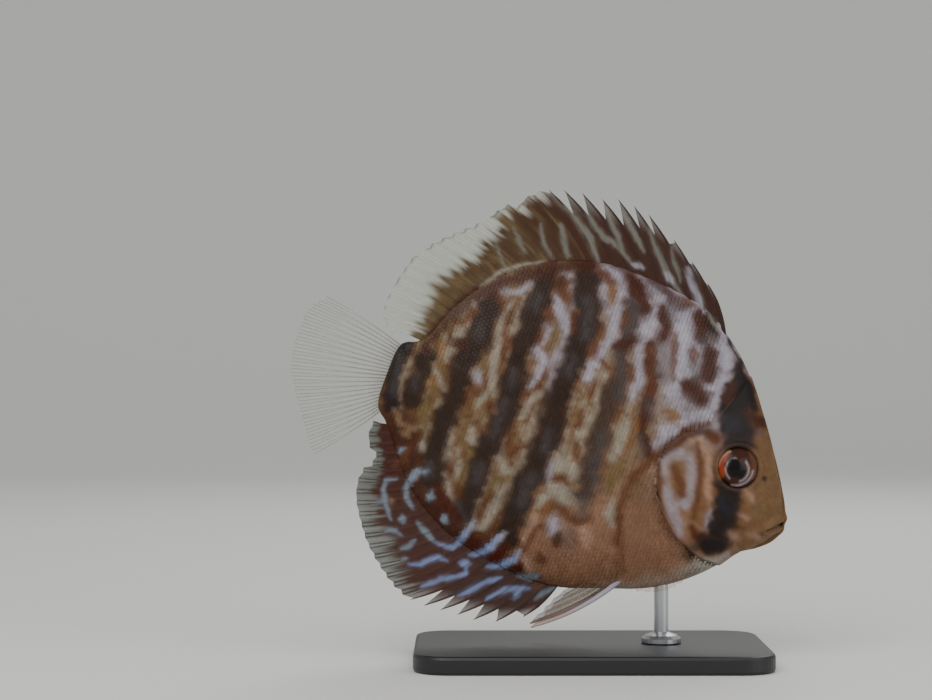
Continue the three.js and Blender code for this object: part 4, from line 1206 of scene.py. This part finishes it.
class FinSheet:
    """The columns of points of a fin, with what its colours need to know of each point."""

    def __init__(self, rays, rows, sunk, sheath, thickness):
        self.rays, self.sunk, self.sheath, self.thickness = rays, sunk, sheath, thickness
        self.rise = np.concatenate([[0.0, 0.0], np.linspace(0, 1, rows)[1:]])
        self.columns = []
        first, second = rays[0], rays[1]
        way = first.sideways(np.zeros(1))[0] @ (second.root - first.root)
        self.turn = math.copysign(1, way)
        for i, ray in enumerate(rays):
            for s in ACROSS_RAY:
                self.columns.append(self.ray_column(i, ray, s))
            if i + 1 < len(rays):
                self.fill_between(i, ray, rays[i + 1])

    def shares(self, ray, reach):
        """Shares up a ray for the rows, the first row sunk in the body."""
        t = self.rise * reach
        t[0] = -self.sunk / ray.length
        return t

    def width(self, ray, t):
        """Half the width of a ray, which tapers, or forks and spreads if it is soft."""
        up = np.maximum(t, 0)
        half = ray.kind["width"] / 2 * (1 - 0.6 * up)
        if ray.kind["forks"]:
            half = ray.kind["width"] / 2 * (1 - 0.3 * up) + FORK["spread"] * smooth_step(0.4, 1.0, up)
        return half

    def ridge(self, ray, s, t):
        """Height of the ridge at s across a ray, 0 at its middle and 1 at its edge."""
        up = np.maximum(t, 0)
        round_top = np.sqrt(max(1 - s * s, 0)) * np.ones(len(t))
        if ray.kind["forks"]:
            twin = swell(abs(s), FORK["at"], FORK["width"])
            round_top = mixed(round_top, twin, smooth_step(FORK["from"], FORK["to"], up))
        return ray.kind["ridge"] * round_top * (1 - 0.65 * up), round_top

    def ray_column(self, i, ray, s):
        """A column of points on a ray, s across it."""
        reach = 1 - (1 - (ray.kind["front"] if s < 0 else ray.kind["rear"])) * abs(s)
        t = self.shares(ray, reach)
        flat = ray.at(t) + ray.sideways(t) * (self.turn * s * self.width(ray, t))[:, None]
        height, crest = self.ridge(ray, s, t)
        up = np.maximum(t, 0)
        out = up * ray.length
        half = self.thickness / 2 + self.sheath * np.exp(-out / SHEATH_FADE) + height
        share = np.full(len(t), float(i))
        return {"flat": flat, "half": half, "up": up, "crest": crest, "share": share, "out": out}

    def fill_between(self, i, ray, after):
        """Columns of membrane between two rays."""
        low = self.ray_column(i, ray, 1.0)
        high = self.ray_column(i, after, -1.0)
        apart = math.dist(low["flat"][-1], high["flat"][-1])
        count = int(np.clip(round(apart / COLUMN_GAP), 2, 12))
        for f in np.arange(1, count) / count:
            column = {name: mixed(low[name], high[name], f) for name in ("flat", "half", "up", "out")}
            column["crest"] = np.zeros(len(self.rise))
            column["share"] = np.full(len(self.rise), i + f)
            self.columns.append(column)

    def grid(self, name):
        """One value of all points, row by row."""
        return np.stack([column[name] for column in self.columns], axis=1)

    def build(self, name, sway, material):
        """The closed sheet: two faces joined round their edge. `sway` gives y."""
        flat, half = self.grid("flat"), self.grid("half")
        up, share = self.grid("up"), self.grid("share") / (len(self.rays) - 1)
        y = sway(up, share)
        rows, across = y.shape
        near = np.stack([flat[..., 0], y + half, flat[..., 1]], axis=-1).reshape(-1, 3)
        far = np.stack([flat[..., 0], y - half, flat[..., 1]], axis=-1).reshape(-1, 3)
        faces = strip_faces(rows, across)
        total = rows * across
        faces += [tuple(total + v for v in face[::-1]) for face in faces]
        edge = [r * across for r in range(rows)]
        edge += [(rows - 1) * across + i for i in range(1, across)]
        edge += [r * across + across - 1 for r in range(rows - 2, -1, -1)]
        edge += list(range(across - 2, 0, -1))
        for a, b in zip(edge, edge[1:] + edge[:1]):
            faces.append((a, b, total + b, total + a))
        points = np.vstack([near, far])
        fin = new_mesh_object(name, points, faces, material)
        turn_outward(fin, points)
        move_points(fin, posed(points))
        return fin, points

    def values(self, name):
        """One value for each point of both faces."""
        return np.tile(self.grid(name).ravel(), 2)


def turn_outward(made, points):
    """Turns a closed mesh right side out, judged by the sign of its volume."""
    made.data.calc_loop_triangles()
    triangles = made.data.loop_triangles
    corners = np.empty(len(triangles) * 3, np.int32)
    triangles.foreach_get("vertices", corners)
    a, b, c = (points[corner] for corner in corners.reshape(-1, 3).T)
    if np.sum(a * np.cross(b, c)) < 0:
        made.data.flip_normals()


def one_face(opacity):
    """The cover of one face, when both faces of a sheet together cover this share."""
    return 1 - np.sqrt(1 - np.clip(opacity, 0, 0.995))


def median_fin_colours(painter, points, sheet, look):
    """Dorsal and anal fin: dark from the base to a ragged edge, and a clear fringe beyond it."""
    up, crest, share, out = (sheet.values(name) for name in ("up", "crest", "share", "out"))
    paints = painter.paints
    ridge = crest[:, None]
    soft = smooth_step(look["soft_from"] - 1.5, look["soft_from"] + 1.5, share)
    streak = soft_noise(share * 2.6, out * 0.22, 1.0, seed=51)
    fine = soft_noise(share * 7, out * 0.12, 1.0, seed=53)
    light = smooth_step(-0.3, 1.1, 0.7 * streak + 0.7 * fine)
    along = np.clip((share - look["soft_from"]) / (len(sheet.rays) - 1 - look["soft_from"]), 0, 1)
    lighter = np.clip(light + look["rear_light"] * along, 0, 1)
    dark_paint, light_paint = (paints[name] for name in look["stiff"])
    stiff = mixed(mixed(dark_paint, light_paint, 0.6 * light[:, None]), paints["char"], 0.4 * ridge)
    dark_paint, light_paint = (paints[name] for name in look["inner"])
    colours = mixed(stiff, mixed(dark_paint, light_paint, lighter[:, None]), soft[:, None])
    x, z = painter.warped(points[:, 0], points[:, 2], points[:, 1] > 0, 0.8)
    painter.lay(colours, x, z, RIM_MARKS, 0.9)
    painter.lay(colours, x, z, *FIN_BASE_LAYER)
    # The dark colour thins out along the rays
    beyond = up - np.interp(along, *zip(*look["dark_reach"])) - 0.05 * streak - 0.14 * fine - 0.05 * crest
    clear = smooth_step(-0.14, 0.12, beyond) * soft
    colours = mixed(colours, paints[look["fringe"]] * (0.88 + 0.2 * ridge), clear[:, None])
    cover = look["fringe_cover"] + 0.25 * crest - 0.2 * smooth_step(0.1, 0.6, beyond)
    opacity = mixed(0.97, cover, clear) - 0.3 * (1 - soft) * (1 - crest) * smooth_step(0.55, 0.95, up)
    # A thin broken dark line along the margin
    broken = smooth_step(-0.3, 0.2, soft_noise(share * 9, up, 1.0, seed=54))
    line = 0.7 * smooth_step(0.955, 0.985, up) * broken * soft
    colours = mixed(colours, paints["umber"], line[:, None])
    return np.clip(colours, 0, 1), one_face(np.maximum(opacity, line))


def make_dorsal_fin(settings, painter, material):
    """Ten spines and nineteen soft rays along the back."""
    rays = spine_rays(BACK_BASE, BACK_SPINE_TIPS, 0.02, 0.42, 0.11)
    rays += spread_rays(BACK_BASE, BACK_MARGIN, 0.42, 0.985, 20, (0.11, 0.02), SOFT, skip_first=True)
    sheet = FinSheet(rays, settings.rows, 2.0, 0.95, settings.membrane / MM)
    fin, points = sheet.build("dorsal_fin_skin", lambda t, s: 0.8 * t * t * s * np.sin(9 * s), material)
    set_paint(fin, *median_fin_colours(painter, points, sheet, DORSAL_LOOK))
    return fin


def make_anal_fin(settings, painter, material):
    """Seven spines and eighteen soft rays under the belly."""
    rays = spine_rays(VENT_BASE, VENT_SPINE_TIPS, 0.02, 0.3, -0.11)
    rays += spread_rays(VENT_BASE, VENT_MARGIN, 0.3, 0.97, 19, (-0.11, -0.02), SOFT, skip_first=True)
    sheet = FinSheet(rays, settings.rows, 2.0, 0.95, settings.membrane / MM)
    fin, points = sheet.build("anal_fin_skin", lambda t, s: -0.7 * t * t * s * np.sin(9 * s), material)
    set_paint(fin, *median_fin_colours(painter, points, sheet, ANAL_LOOK))
    return fin


def clear_fin_colours(painter, sheet, membrane, ray_paint, base_paint, membrane_cover, ray_cover):
    """A clear fin: rays of one paint, a thin tinted membrane, and more colour at its base."""
    up, crest, share = (sheet.values(name) for name in ("up", "crest", "share"))
    membrane, ray_paint, base_paint = (painter.paints[name] for name in (membrane, ray_paint, base_paint))
    base = smooth_step(0.35, 0, up)
    ripple = soft_noise(share * 3, up * 14, 1.0, seed=61)
    opacity = mixed(membrane_cover, ray_cover, crest) + 0.25 * base * (1 - membrane_cover)
    colours = mixed(mixed(membrane, ray_paint, crest[:, None]), base_paint, 0.35 * base[:, None])
    return colours, one_face(opacity * (1 + 0.15 * ripple))


def make_caudal_fin(settings, painter, material):
    """Fine soft rays in a nearly clear tail fin."""
    rays = spread_rays(TAIL_BASE, TAIL_MARGIN, 0, 1, 24, (0.06, -0.06), {**SOFT, "width": 0.42})
    sheet = FinSheet(rays, settings.rows, 1.5, 0.45, settings.membrane / MM)
    fin, _ = sheet.build("caudal_fin_skin", lambda t, s: 0.8 * t * t * np.sin(5 * s), material)
    set_paint(fin, *clear_fin_colours(painter, sheet, "fringe", "mist", "olive", 0.26, 0.6))
    return fin


def make_pectoral_fin(settings, painter, material, side, name):
    """Ten soft rays hanging beside the body behind the gill cover."""
    slender = {**SOFT, "width": 0.5}
    rays = spread_rays(PECTORAL["base"], PECTORAL["margin"], 0, 1, 10, PECTORAL["bow"], slender)
    sheet = FinSheet(rays, settings.rows, 1.2, 0.3, settings.membrane / MM)
    start = FLANK.read(*PECTORAL["base"][1])[1] - PECTORAL["inset"]
    fin, _ = sheet.build(
        name, lambda t, s: side * (start + PECTORAL["spread"] * t + 0.7 * t * np.sin(4 * s)), material)
    # The blush at the fin's base is a painted highlight
    set_paint(fin, *clear_fin_colours(painter, sheet, "breast", "tan", "blush", 0.2, 0.4))
    return fin


def make_pelvic_fin(settings, painter, material, side, name):
    """A long stout lilac ray with four thinner rays, folded back under the belly."""
    thin = {**SOFT, "width": 0.4, "rear": 0.93, "forks": False}
    rays = spread_rays(PELVIC["base"], PELVIC["margin"], 0, 1, 5, (-0.11, 0), thin)
    rays[0].kind = STOUT
    sheet = FinSheet(rays, settings.rows, 2.0, 0.25, settings.membrane / MM)
    fin, _ = sheet.build(name, lambda t, s: side * (PELVIC["apart"] + PELVIC["spread"] * t), material)
    paints = painter.paints
    lead = smooth_step(0.25, 0.05, sheet.values("share"))
    tip = 0.6 * smooth_step(0.3, 0.8, sheet.values("up"))
    pale = mixed(paints["lilac"], paints["blush"], tip[:, None])
    opacity = mixed(0.5 + 0.35 * sheet.values("crest"), 0.97, lead)
    set_paint(fin, mixed(paints["tan"], 1.4 * pale, lead[:, None]), one_face(opacity))
    return fin


# Eyes
def make_eye(painter, material, side, name):
    """A flattened ball square to the flank, painted as iris and pupil under its wet gloss."""
    rows, around = 40, 72
    x, z = EYE["x"], EYE["z"]
    slope_x, slope_z = FLANK.slopes(x, z, 1.5)
    outward = unit(np.array([-slope_x, side, -slope_z]))
    forward = unit(np.array([1.0, 0, 0]) - outward[0] * outward)
    up = np.cross(outward, forward) * -side
    seat = np.array([x, side * FLANK.read(x, z)[1], z]) - outward * EYE["sunk"]
    points = [seat + outward * EYE["depth"]]
    for tilt in math.pi * np.arange(1, rows) / rows:
        middle = seat + outward * EYE["depth"] * math.cos(tilt)
        reach = EYE["radius"] * math.sin(tilt)
        for turn in 2 * math.pi * np.arange(around) / around:
            points.append(middle + reach * (forward * math.cos(turn) + up * math.sin(turn)))
    points.append(seat - outward * EYE["depth"])
    points = np.array(points)
    last = len(points) - 1
    faces = [tuple(v + 1 for v in face) for face in strip_faces(rows - 1, around, close_across=True)]
    for k in range(around):
        after = (k + 1) % around
        faces.append((0, 1 + after, 1 + k))
        faces.append((last, last - around + k, last - around + after))
    eye = new_mesh_object(name, points, faces, material)
    turn_outward(eye, points)
    away = np.hypot(points[:, 0] - x, points[:, 2] - z)
    # The iris darkens towards its rim
    colours = painter.paints["iris"] * (1.15 - 0.6 * smooth_step(3.6, 4.9, away)[:, None])
    painter.lay(colours, points[:, 0], points[:, 2], EYE_MARKS, 1.0, 0.4)
    move_points(eye, posed(points))
    set_paint(eye, np.clip(colours, 0, 1))
    return eye


# Settings
def length_setting(name, description, millimetres):
    """A length property with its default given in millimetres."""
    return bpy.props.FloatProperty(
        name=name, description=description, default=millimetres * MM, unit="LENGTH", precision=5)


def colour_setting(name, description, hex_colour):
    """A colour property with its default given in sRGB hex."""
    return bpy.props.FloatVectorProperty(
        name=name, description=description, default=linear(hex_colour), subtype="COLOR", size=3, min=0, max=1)


class DiscusSkinSettings(bpy.types.PropertyGroup):
    """How finely the skin is built and how far its features stand out."""

    head_detail: length_setting("Head detail", "Spacing of points round the head", 0.36)
    trunk_detail: length_setting("Trunk detail", "Spacing of points round the trunk", 1.5)
    rings: bpy.props.IntProperty(
        name="Rings", description="Rings of points from a flank's middle to its rim", default=104, min=20)
    cover_lift: length_setting("Gill cover lift", "Height of the gill cover's rear edge", 0.42)
    lip_height: length_setting("Lip height", "How far the lips stand out", 0.75)
    scale_spacing: length_setting("Scale spacing", "Distance from one scale to the next", 1.1)
    scale_tilt: bpy.props.FloatProperty(
        name="Scale tilt", description="Lift of a scale's free edge in degrees", default=1.4)


class DiscusFinSettings(bpy.types.PropertyGroup):
    """How finely the fins are built and how thick their membrane is."""

    rows: bpy.props.IntProperty(
        name="Rows", description="Rows of points from a fin's base to its margin", default=44, min=8)
    membrane: length_setting("Membrane", "Thickness of the membrane between the rays", 0.3)


class DiscusPaintSettings(bpy.types.PropertyGroup):
    """The fish's own colours."""

    lilac: colour_setting("Lilac", "Pale ground of the upper flank", "#9b96a0")
    cream: colour_setting("Cream", "Pale lines of the rear flank and clear fins", "#8f8778")
    mist: colour_setting("Mist", "Grey-green membrane between the spines", "#75736a")
    blush: colour_setting("Blush", "Pinkish patches of cheek and breast", "#a07e6a")
    tan: colour_setting("Tan", "Ground of the lower flank", "#725a42")
    olive: colour_setting("Olive", "Warm olive shading of the rear flank", "#655233")
    bronze: colour_setting("Bronze", "Brown shade of the snout and forehead", "#6b4e31")
    fringe: colour_setting("Fringe", "Pale clear fringe of the dorsal fin", "#c0c2b4")
    smoke: colour_setting("Smoke", "Grey-green fringe of the anal fin", "#3b3c32")
    breast: colour_setting("Breast", "Orange tan of the breast", "#84604a")
    orange: colour_setting("Orange", "Head and bright spots", "#74502f")
    rust: colour_setting("Rust", "Worm lines between the bars", "#58321b")
    brown: colour_setting("Brown", "Broken bars and fin bases", "#3e1d0d")
    redbrown: colour_setting("Red-brown", "Rear of the anal fin and tail root", "#431a0a")
    umber: colour_setting("Umber", "Soft grey-brown bars", "#3e2f26")
    char: colour_setting("Charcoal", "Dark upright bars", "#2a1c15")
    pitch: colour_setting("Pitch", "Bar through the eye", "#1c1413")
    ink: colour_setting("Ink", "Blue-black sheen in the bar through the eye", "#272a38")
    slate: colour_setting("Slate", "Grey centres of the bars", "#4b4748")
    blue: colour_setting("Blue", "Streaks of the anal fin's base", "#7c8db6")
    sky: colour_setting("Sky", "Small pale marks at the fins' bases", "#76838f")
    throat: colour_setting("Throat", "Grey-white throat", "#a09b90")
    iris: colour_setting("Iris", "Dark red-brown iris", "#35190f")
    ember: colour_setting("Ember", "Red-orange glow of the iris", "#8c3414")
    silver: colour_setting("Silver", "Bright edge of the iris", "#9a8a8b")
    pupil: colour_setting("Pupil", "Black of the pupil", "#030303")


class DiscusStageSettings(bpy.types.PropertyGroup):
    """The studio round the model."""

    paper: colour_setting("Paper", "Floor and backdrop", "#e4e3de")
    key_power: bpy.props.FloatProperty(
        name="Key light", description="Power of the large soft light", default=3.6, unit="POWER")
    fill_power: bpy.props.FloatProperty(
        name="Fill light", description="Power of the weaker light", default=1.4, unit="POWER")
    world: bpy.props.FloatProperty(
        name="Room light", description="Strength of the light from all round", default=0.6)


def paint_of(context):
    """A painter with the colours set in the panel."""
    settings = context.scene.discus_paint
    names = DiscusPaintSettings.__annotations__
    return Painter({name: tuple(getattr(settings, name)) for name in names})


def put_on(piece, slot, *nodes):
    """The piece rides on the fish and stands for these CAD nodes, which it hides. The slot is not used."""
    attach(piece, "root")
    if nodes:
        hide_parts(*nodes)


# Operators
class DISCUS_OT_skin(bpy.types.Operator):
    """Build the skin of head, trunk and tail stem"""

    bl_idname = "discus.skin"
    bl_label = "Build skin"

    def execute(self, context):
        skin = make_skin(context.scene.discus_skin, paint_of(context), mucus_coated_skin())
        put_on(skin, "flank_skin", "head", "torso", "tail_stem")
        return {"FINISHED"}


class DISCUS_OT_scales(bpy.types.Operator):
    """Lay the coat of scales on both flanks"""

    bl_idname = "discus.scales"
    bl_label = "Lay scales"

    def execute(self, context):
        painter = paint_of(context)
        material = guanine_scales()
        for side, name in ((-1, "scales_right"), (1, "scales_left")):
            coat = make_scales(context.scene.discus_skin, painter, material, side, name)
            put_on(coat, "flank_skin")
        return {"FINISHED"}


class DISCUS_OT_fins(bpy.types.Operator):
    """Build the fins"""

    bl_idname = "discus.fins"
    bl_label = "Build fins"

    def execute(self, context):
        settings, painter = context.scene.discus_fins, paint_of(context)
        material = fin_membrane()
        put_on(make_dorsal_fin(settings, painter, material), "dorsal_membrane", "dorsal_fin")
        put_on(make_anal_fin(settings, painter, material), "anal_membrane", "anal_fin")
        put_on(make_caudal_fin(settings, painter, material), "clear_membrane", "caudal_fin")
        for side, end in ((-1, "right"), (1, "left")):
            fin = make_pectoral_fin(settings, painter, material, side, "pectoral_fin_skin_" + end)
            put_on(fin, "clear_membrane", "pectoral_fin_" + end)
            fin = make_pelvic_fin(settings, painter, material, side, "pelvic_fin_skin_" + end)
            put_on(fin, "pelvic_membrane", "pelvic_fin_" + end)
        return {"FINISHED"}


class DISCUS_OT_eyes(bpy.types.Operator):
    """Set the eyes"""

    bl_idname = "discus.eyes"
    bl_label = "Set eyes"

    def execute(self, context):
        painter = paint_of(context)
        material = wet_eye()
        for side, end in ((-1, "right"), (1, "left")):
            put_on(make_eye(painter, material, side, "eyeball_" + end), "eye", "eye_" + end)
        return {"FINISHED"}


class DISCUS_OT_stand(bpy.types.Operator):
    """Give the stand its finishes"""

    bl_idname = "discus.stand"
    bl_label = "Finish stand"

    def execute(self, context):
        for name, make in (("stand_base", powder_coated_aluminium), ("stand_rod", brushed_steel)):
            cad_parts[name].material_slots[0].material = make()
        return {"FINISHED"}


class DISCUS_OT_stage(bpy.types.Operator):
    """Set the floor, backdrop, lights and camera"""

    bl_idname = "discus.stage"
    bl_label = "Set stage"

    def execute(self, context):
        settings = context.scene.discus_stage
        make_paper(settings)
        make_lights(settings)
        make_camera()
        return {"FINISHED"}


def make_paper(settings):
    """Paper over the floor that sweeps up behind the model."""
    width, front, back, bend, height = 3.0, -1.6, 0.9, 0.5, 2.2
    profile = [(front, 0.0), (back, 0.0)]
    for turn in np.linspace(0, math.pi / 2, 17)[1:]:
        profile.append((back + bend * math.sin(turn), bend * (1 - math.cos(turn))))
    profile.append((back + bend, height))
    points = [(x, y, z) for y, z in profile for x in (-width, width)]
    paper = new_mesh_object(
        "paper", points, strip_faces(len(profile), 2), studio_paper(tuple(settings.paper)))


def make_lights(settings):
    """A large soft light above the camera, weaker ones from the right and behind, and room light."""
    aim_at = (0, 0, 0.07)
    # Name, place, size and power of each lamp
    for name, place, size, power in (
            ("key", (-0.25, -0.55, 0.62), 0.6, settings.key_power),
            ("fill", (0.6, -0.45, 0.25), 0.5, settings.fill_power),
            ("rim", (0.15, 0.55, 0.55), 0.4, settings.fill_power)):
        lamp = bpy.data.lights.new(name, "AREA")
        lamp.energy, lamp.size = power, size
        holder = bpy.data.objects.new(name, lamp)
        holder.location = place
        holder.rotation_euler = Vector(np.subtract(aim_at, place)).to_track_quat("-Z", "Y").to_euler()
        bpy.context.collection.objects.link(holder)
    world = bpy.data.worlds.new("room")
    bpy.context.scene.world = world
    world.use_nodes = True
    background = world.node_tree.nodes["Background"]
    background.inputs["Color"].default_value = (*linear("#eef0f2"), 1)
    background.inputs["Strength"].default_value = settings.world


def make_camera():
    """The photo's view: level, square to the fish's right side."""
    camera = bpy.data.cameras.new("camera")
    camera.lens, camera.sensor_width = CAMERA_LENS, 36.0
    camera.clip_start, camera.clip_end = 0.05, 20.0
    holder = bpy.data.objects.new("camera", camera)
    holder.location = [value * MM for value in CAMERA_AT]
    holder.rotation_euler = (math.pi / 2, 0, 0)
    bpy.context.collection.objects.link(holder)
    bpy.context.scene.camera = holder


class DISCUS_PT_panel(bpy.types.Panel):
    """The steps and settings of the discus model"""

    bl_idname = "DISCUS_PT_panel"
    bl_label = "Discus fish model"
    bl_space_type = "VIEW_3D"
    bl_region_type = "UI"
    bl_category = "Discus"

    def draw(self, context):
        for settings in ("discus_skin", "discus_fins", "discus_paint", "discus_stage"):
            box = self.layout.box()
            group = getattr(context.scene, settings)
            for name in type(group).__annotations__:
                box.prop(group, name)
        for step in STEPS:
            self.layout.operator(step.bl_idname)


STEPS = (DISCUS_OT_skin, DISCUS_OT_scales, DISCUS_OT_fins, DISCUS_OT_eyes, DISCUS_OT_stand, DISCUS_OT_stage)
SETTINGS = {
    "discus_skin": DiscusSkinSettings,
    "discus_fins": DiscusFinSettings,
    "discus_paint": DiscusPaintSettings,
    "discus_stage": DiscusStageSettings,
}


def register():
    """Adds the settings, operators and panel."""
    for cls in (*SETTINGS.values(), *STEPS, DISCUS_PT_panel):
        bpy.utils.register_class(cls)
    for name, group in SETTINGS.items():
        setattr(bpy.types.Scene, name, bpy.props.PointerProperty(type=group))


def unregister():
    """Takes them away again."""
    for name in SETTINGS:
        delattr(bpy.types.Scene, name)
    for cls in reversed((*SETTINGS.values(), *STEPS, DISCUS_PT_panel)):
        bpy.utils.unregister_class(cls)


def main():
    """Builds the model step by step."""
    register()
    for step in (bpy.ops.discus.skin, bpy.ops.discus.scales, bpy.ops.discus.fins,
                 bpy.ops.discus.eyes, bpy.ops.discus.stand, bpy.ops.discus.stage):
        step()


if __name__ == "__main__":
    main()
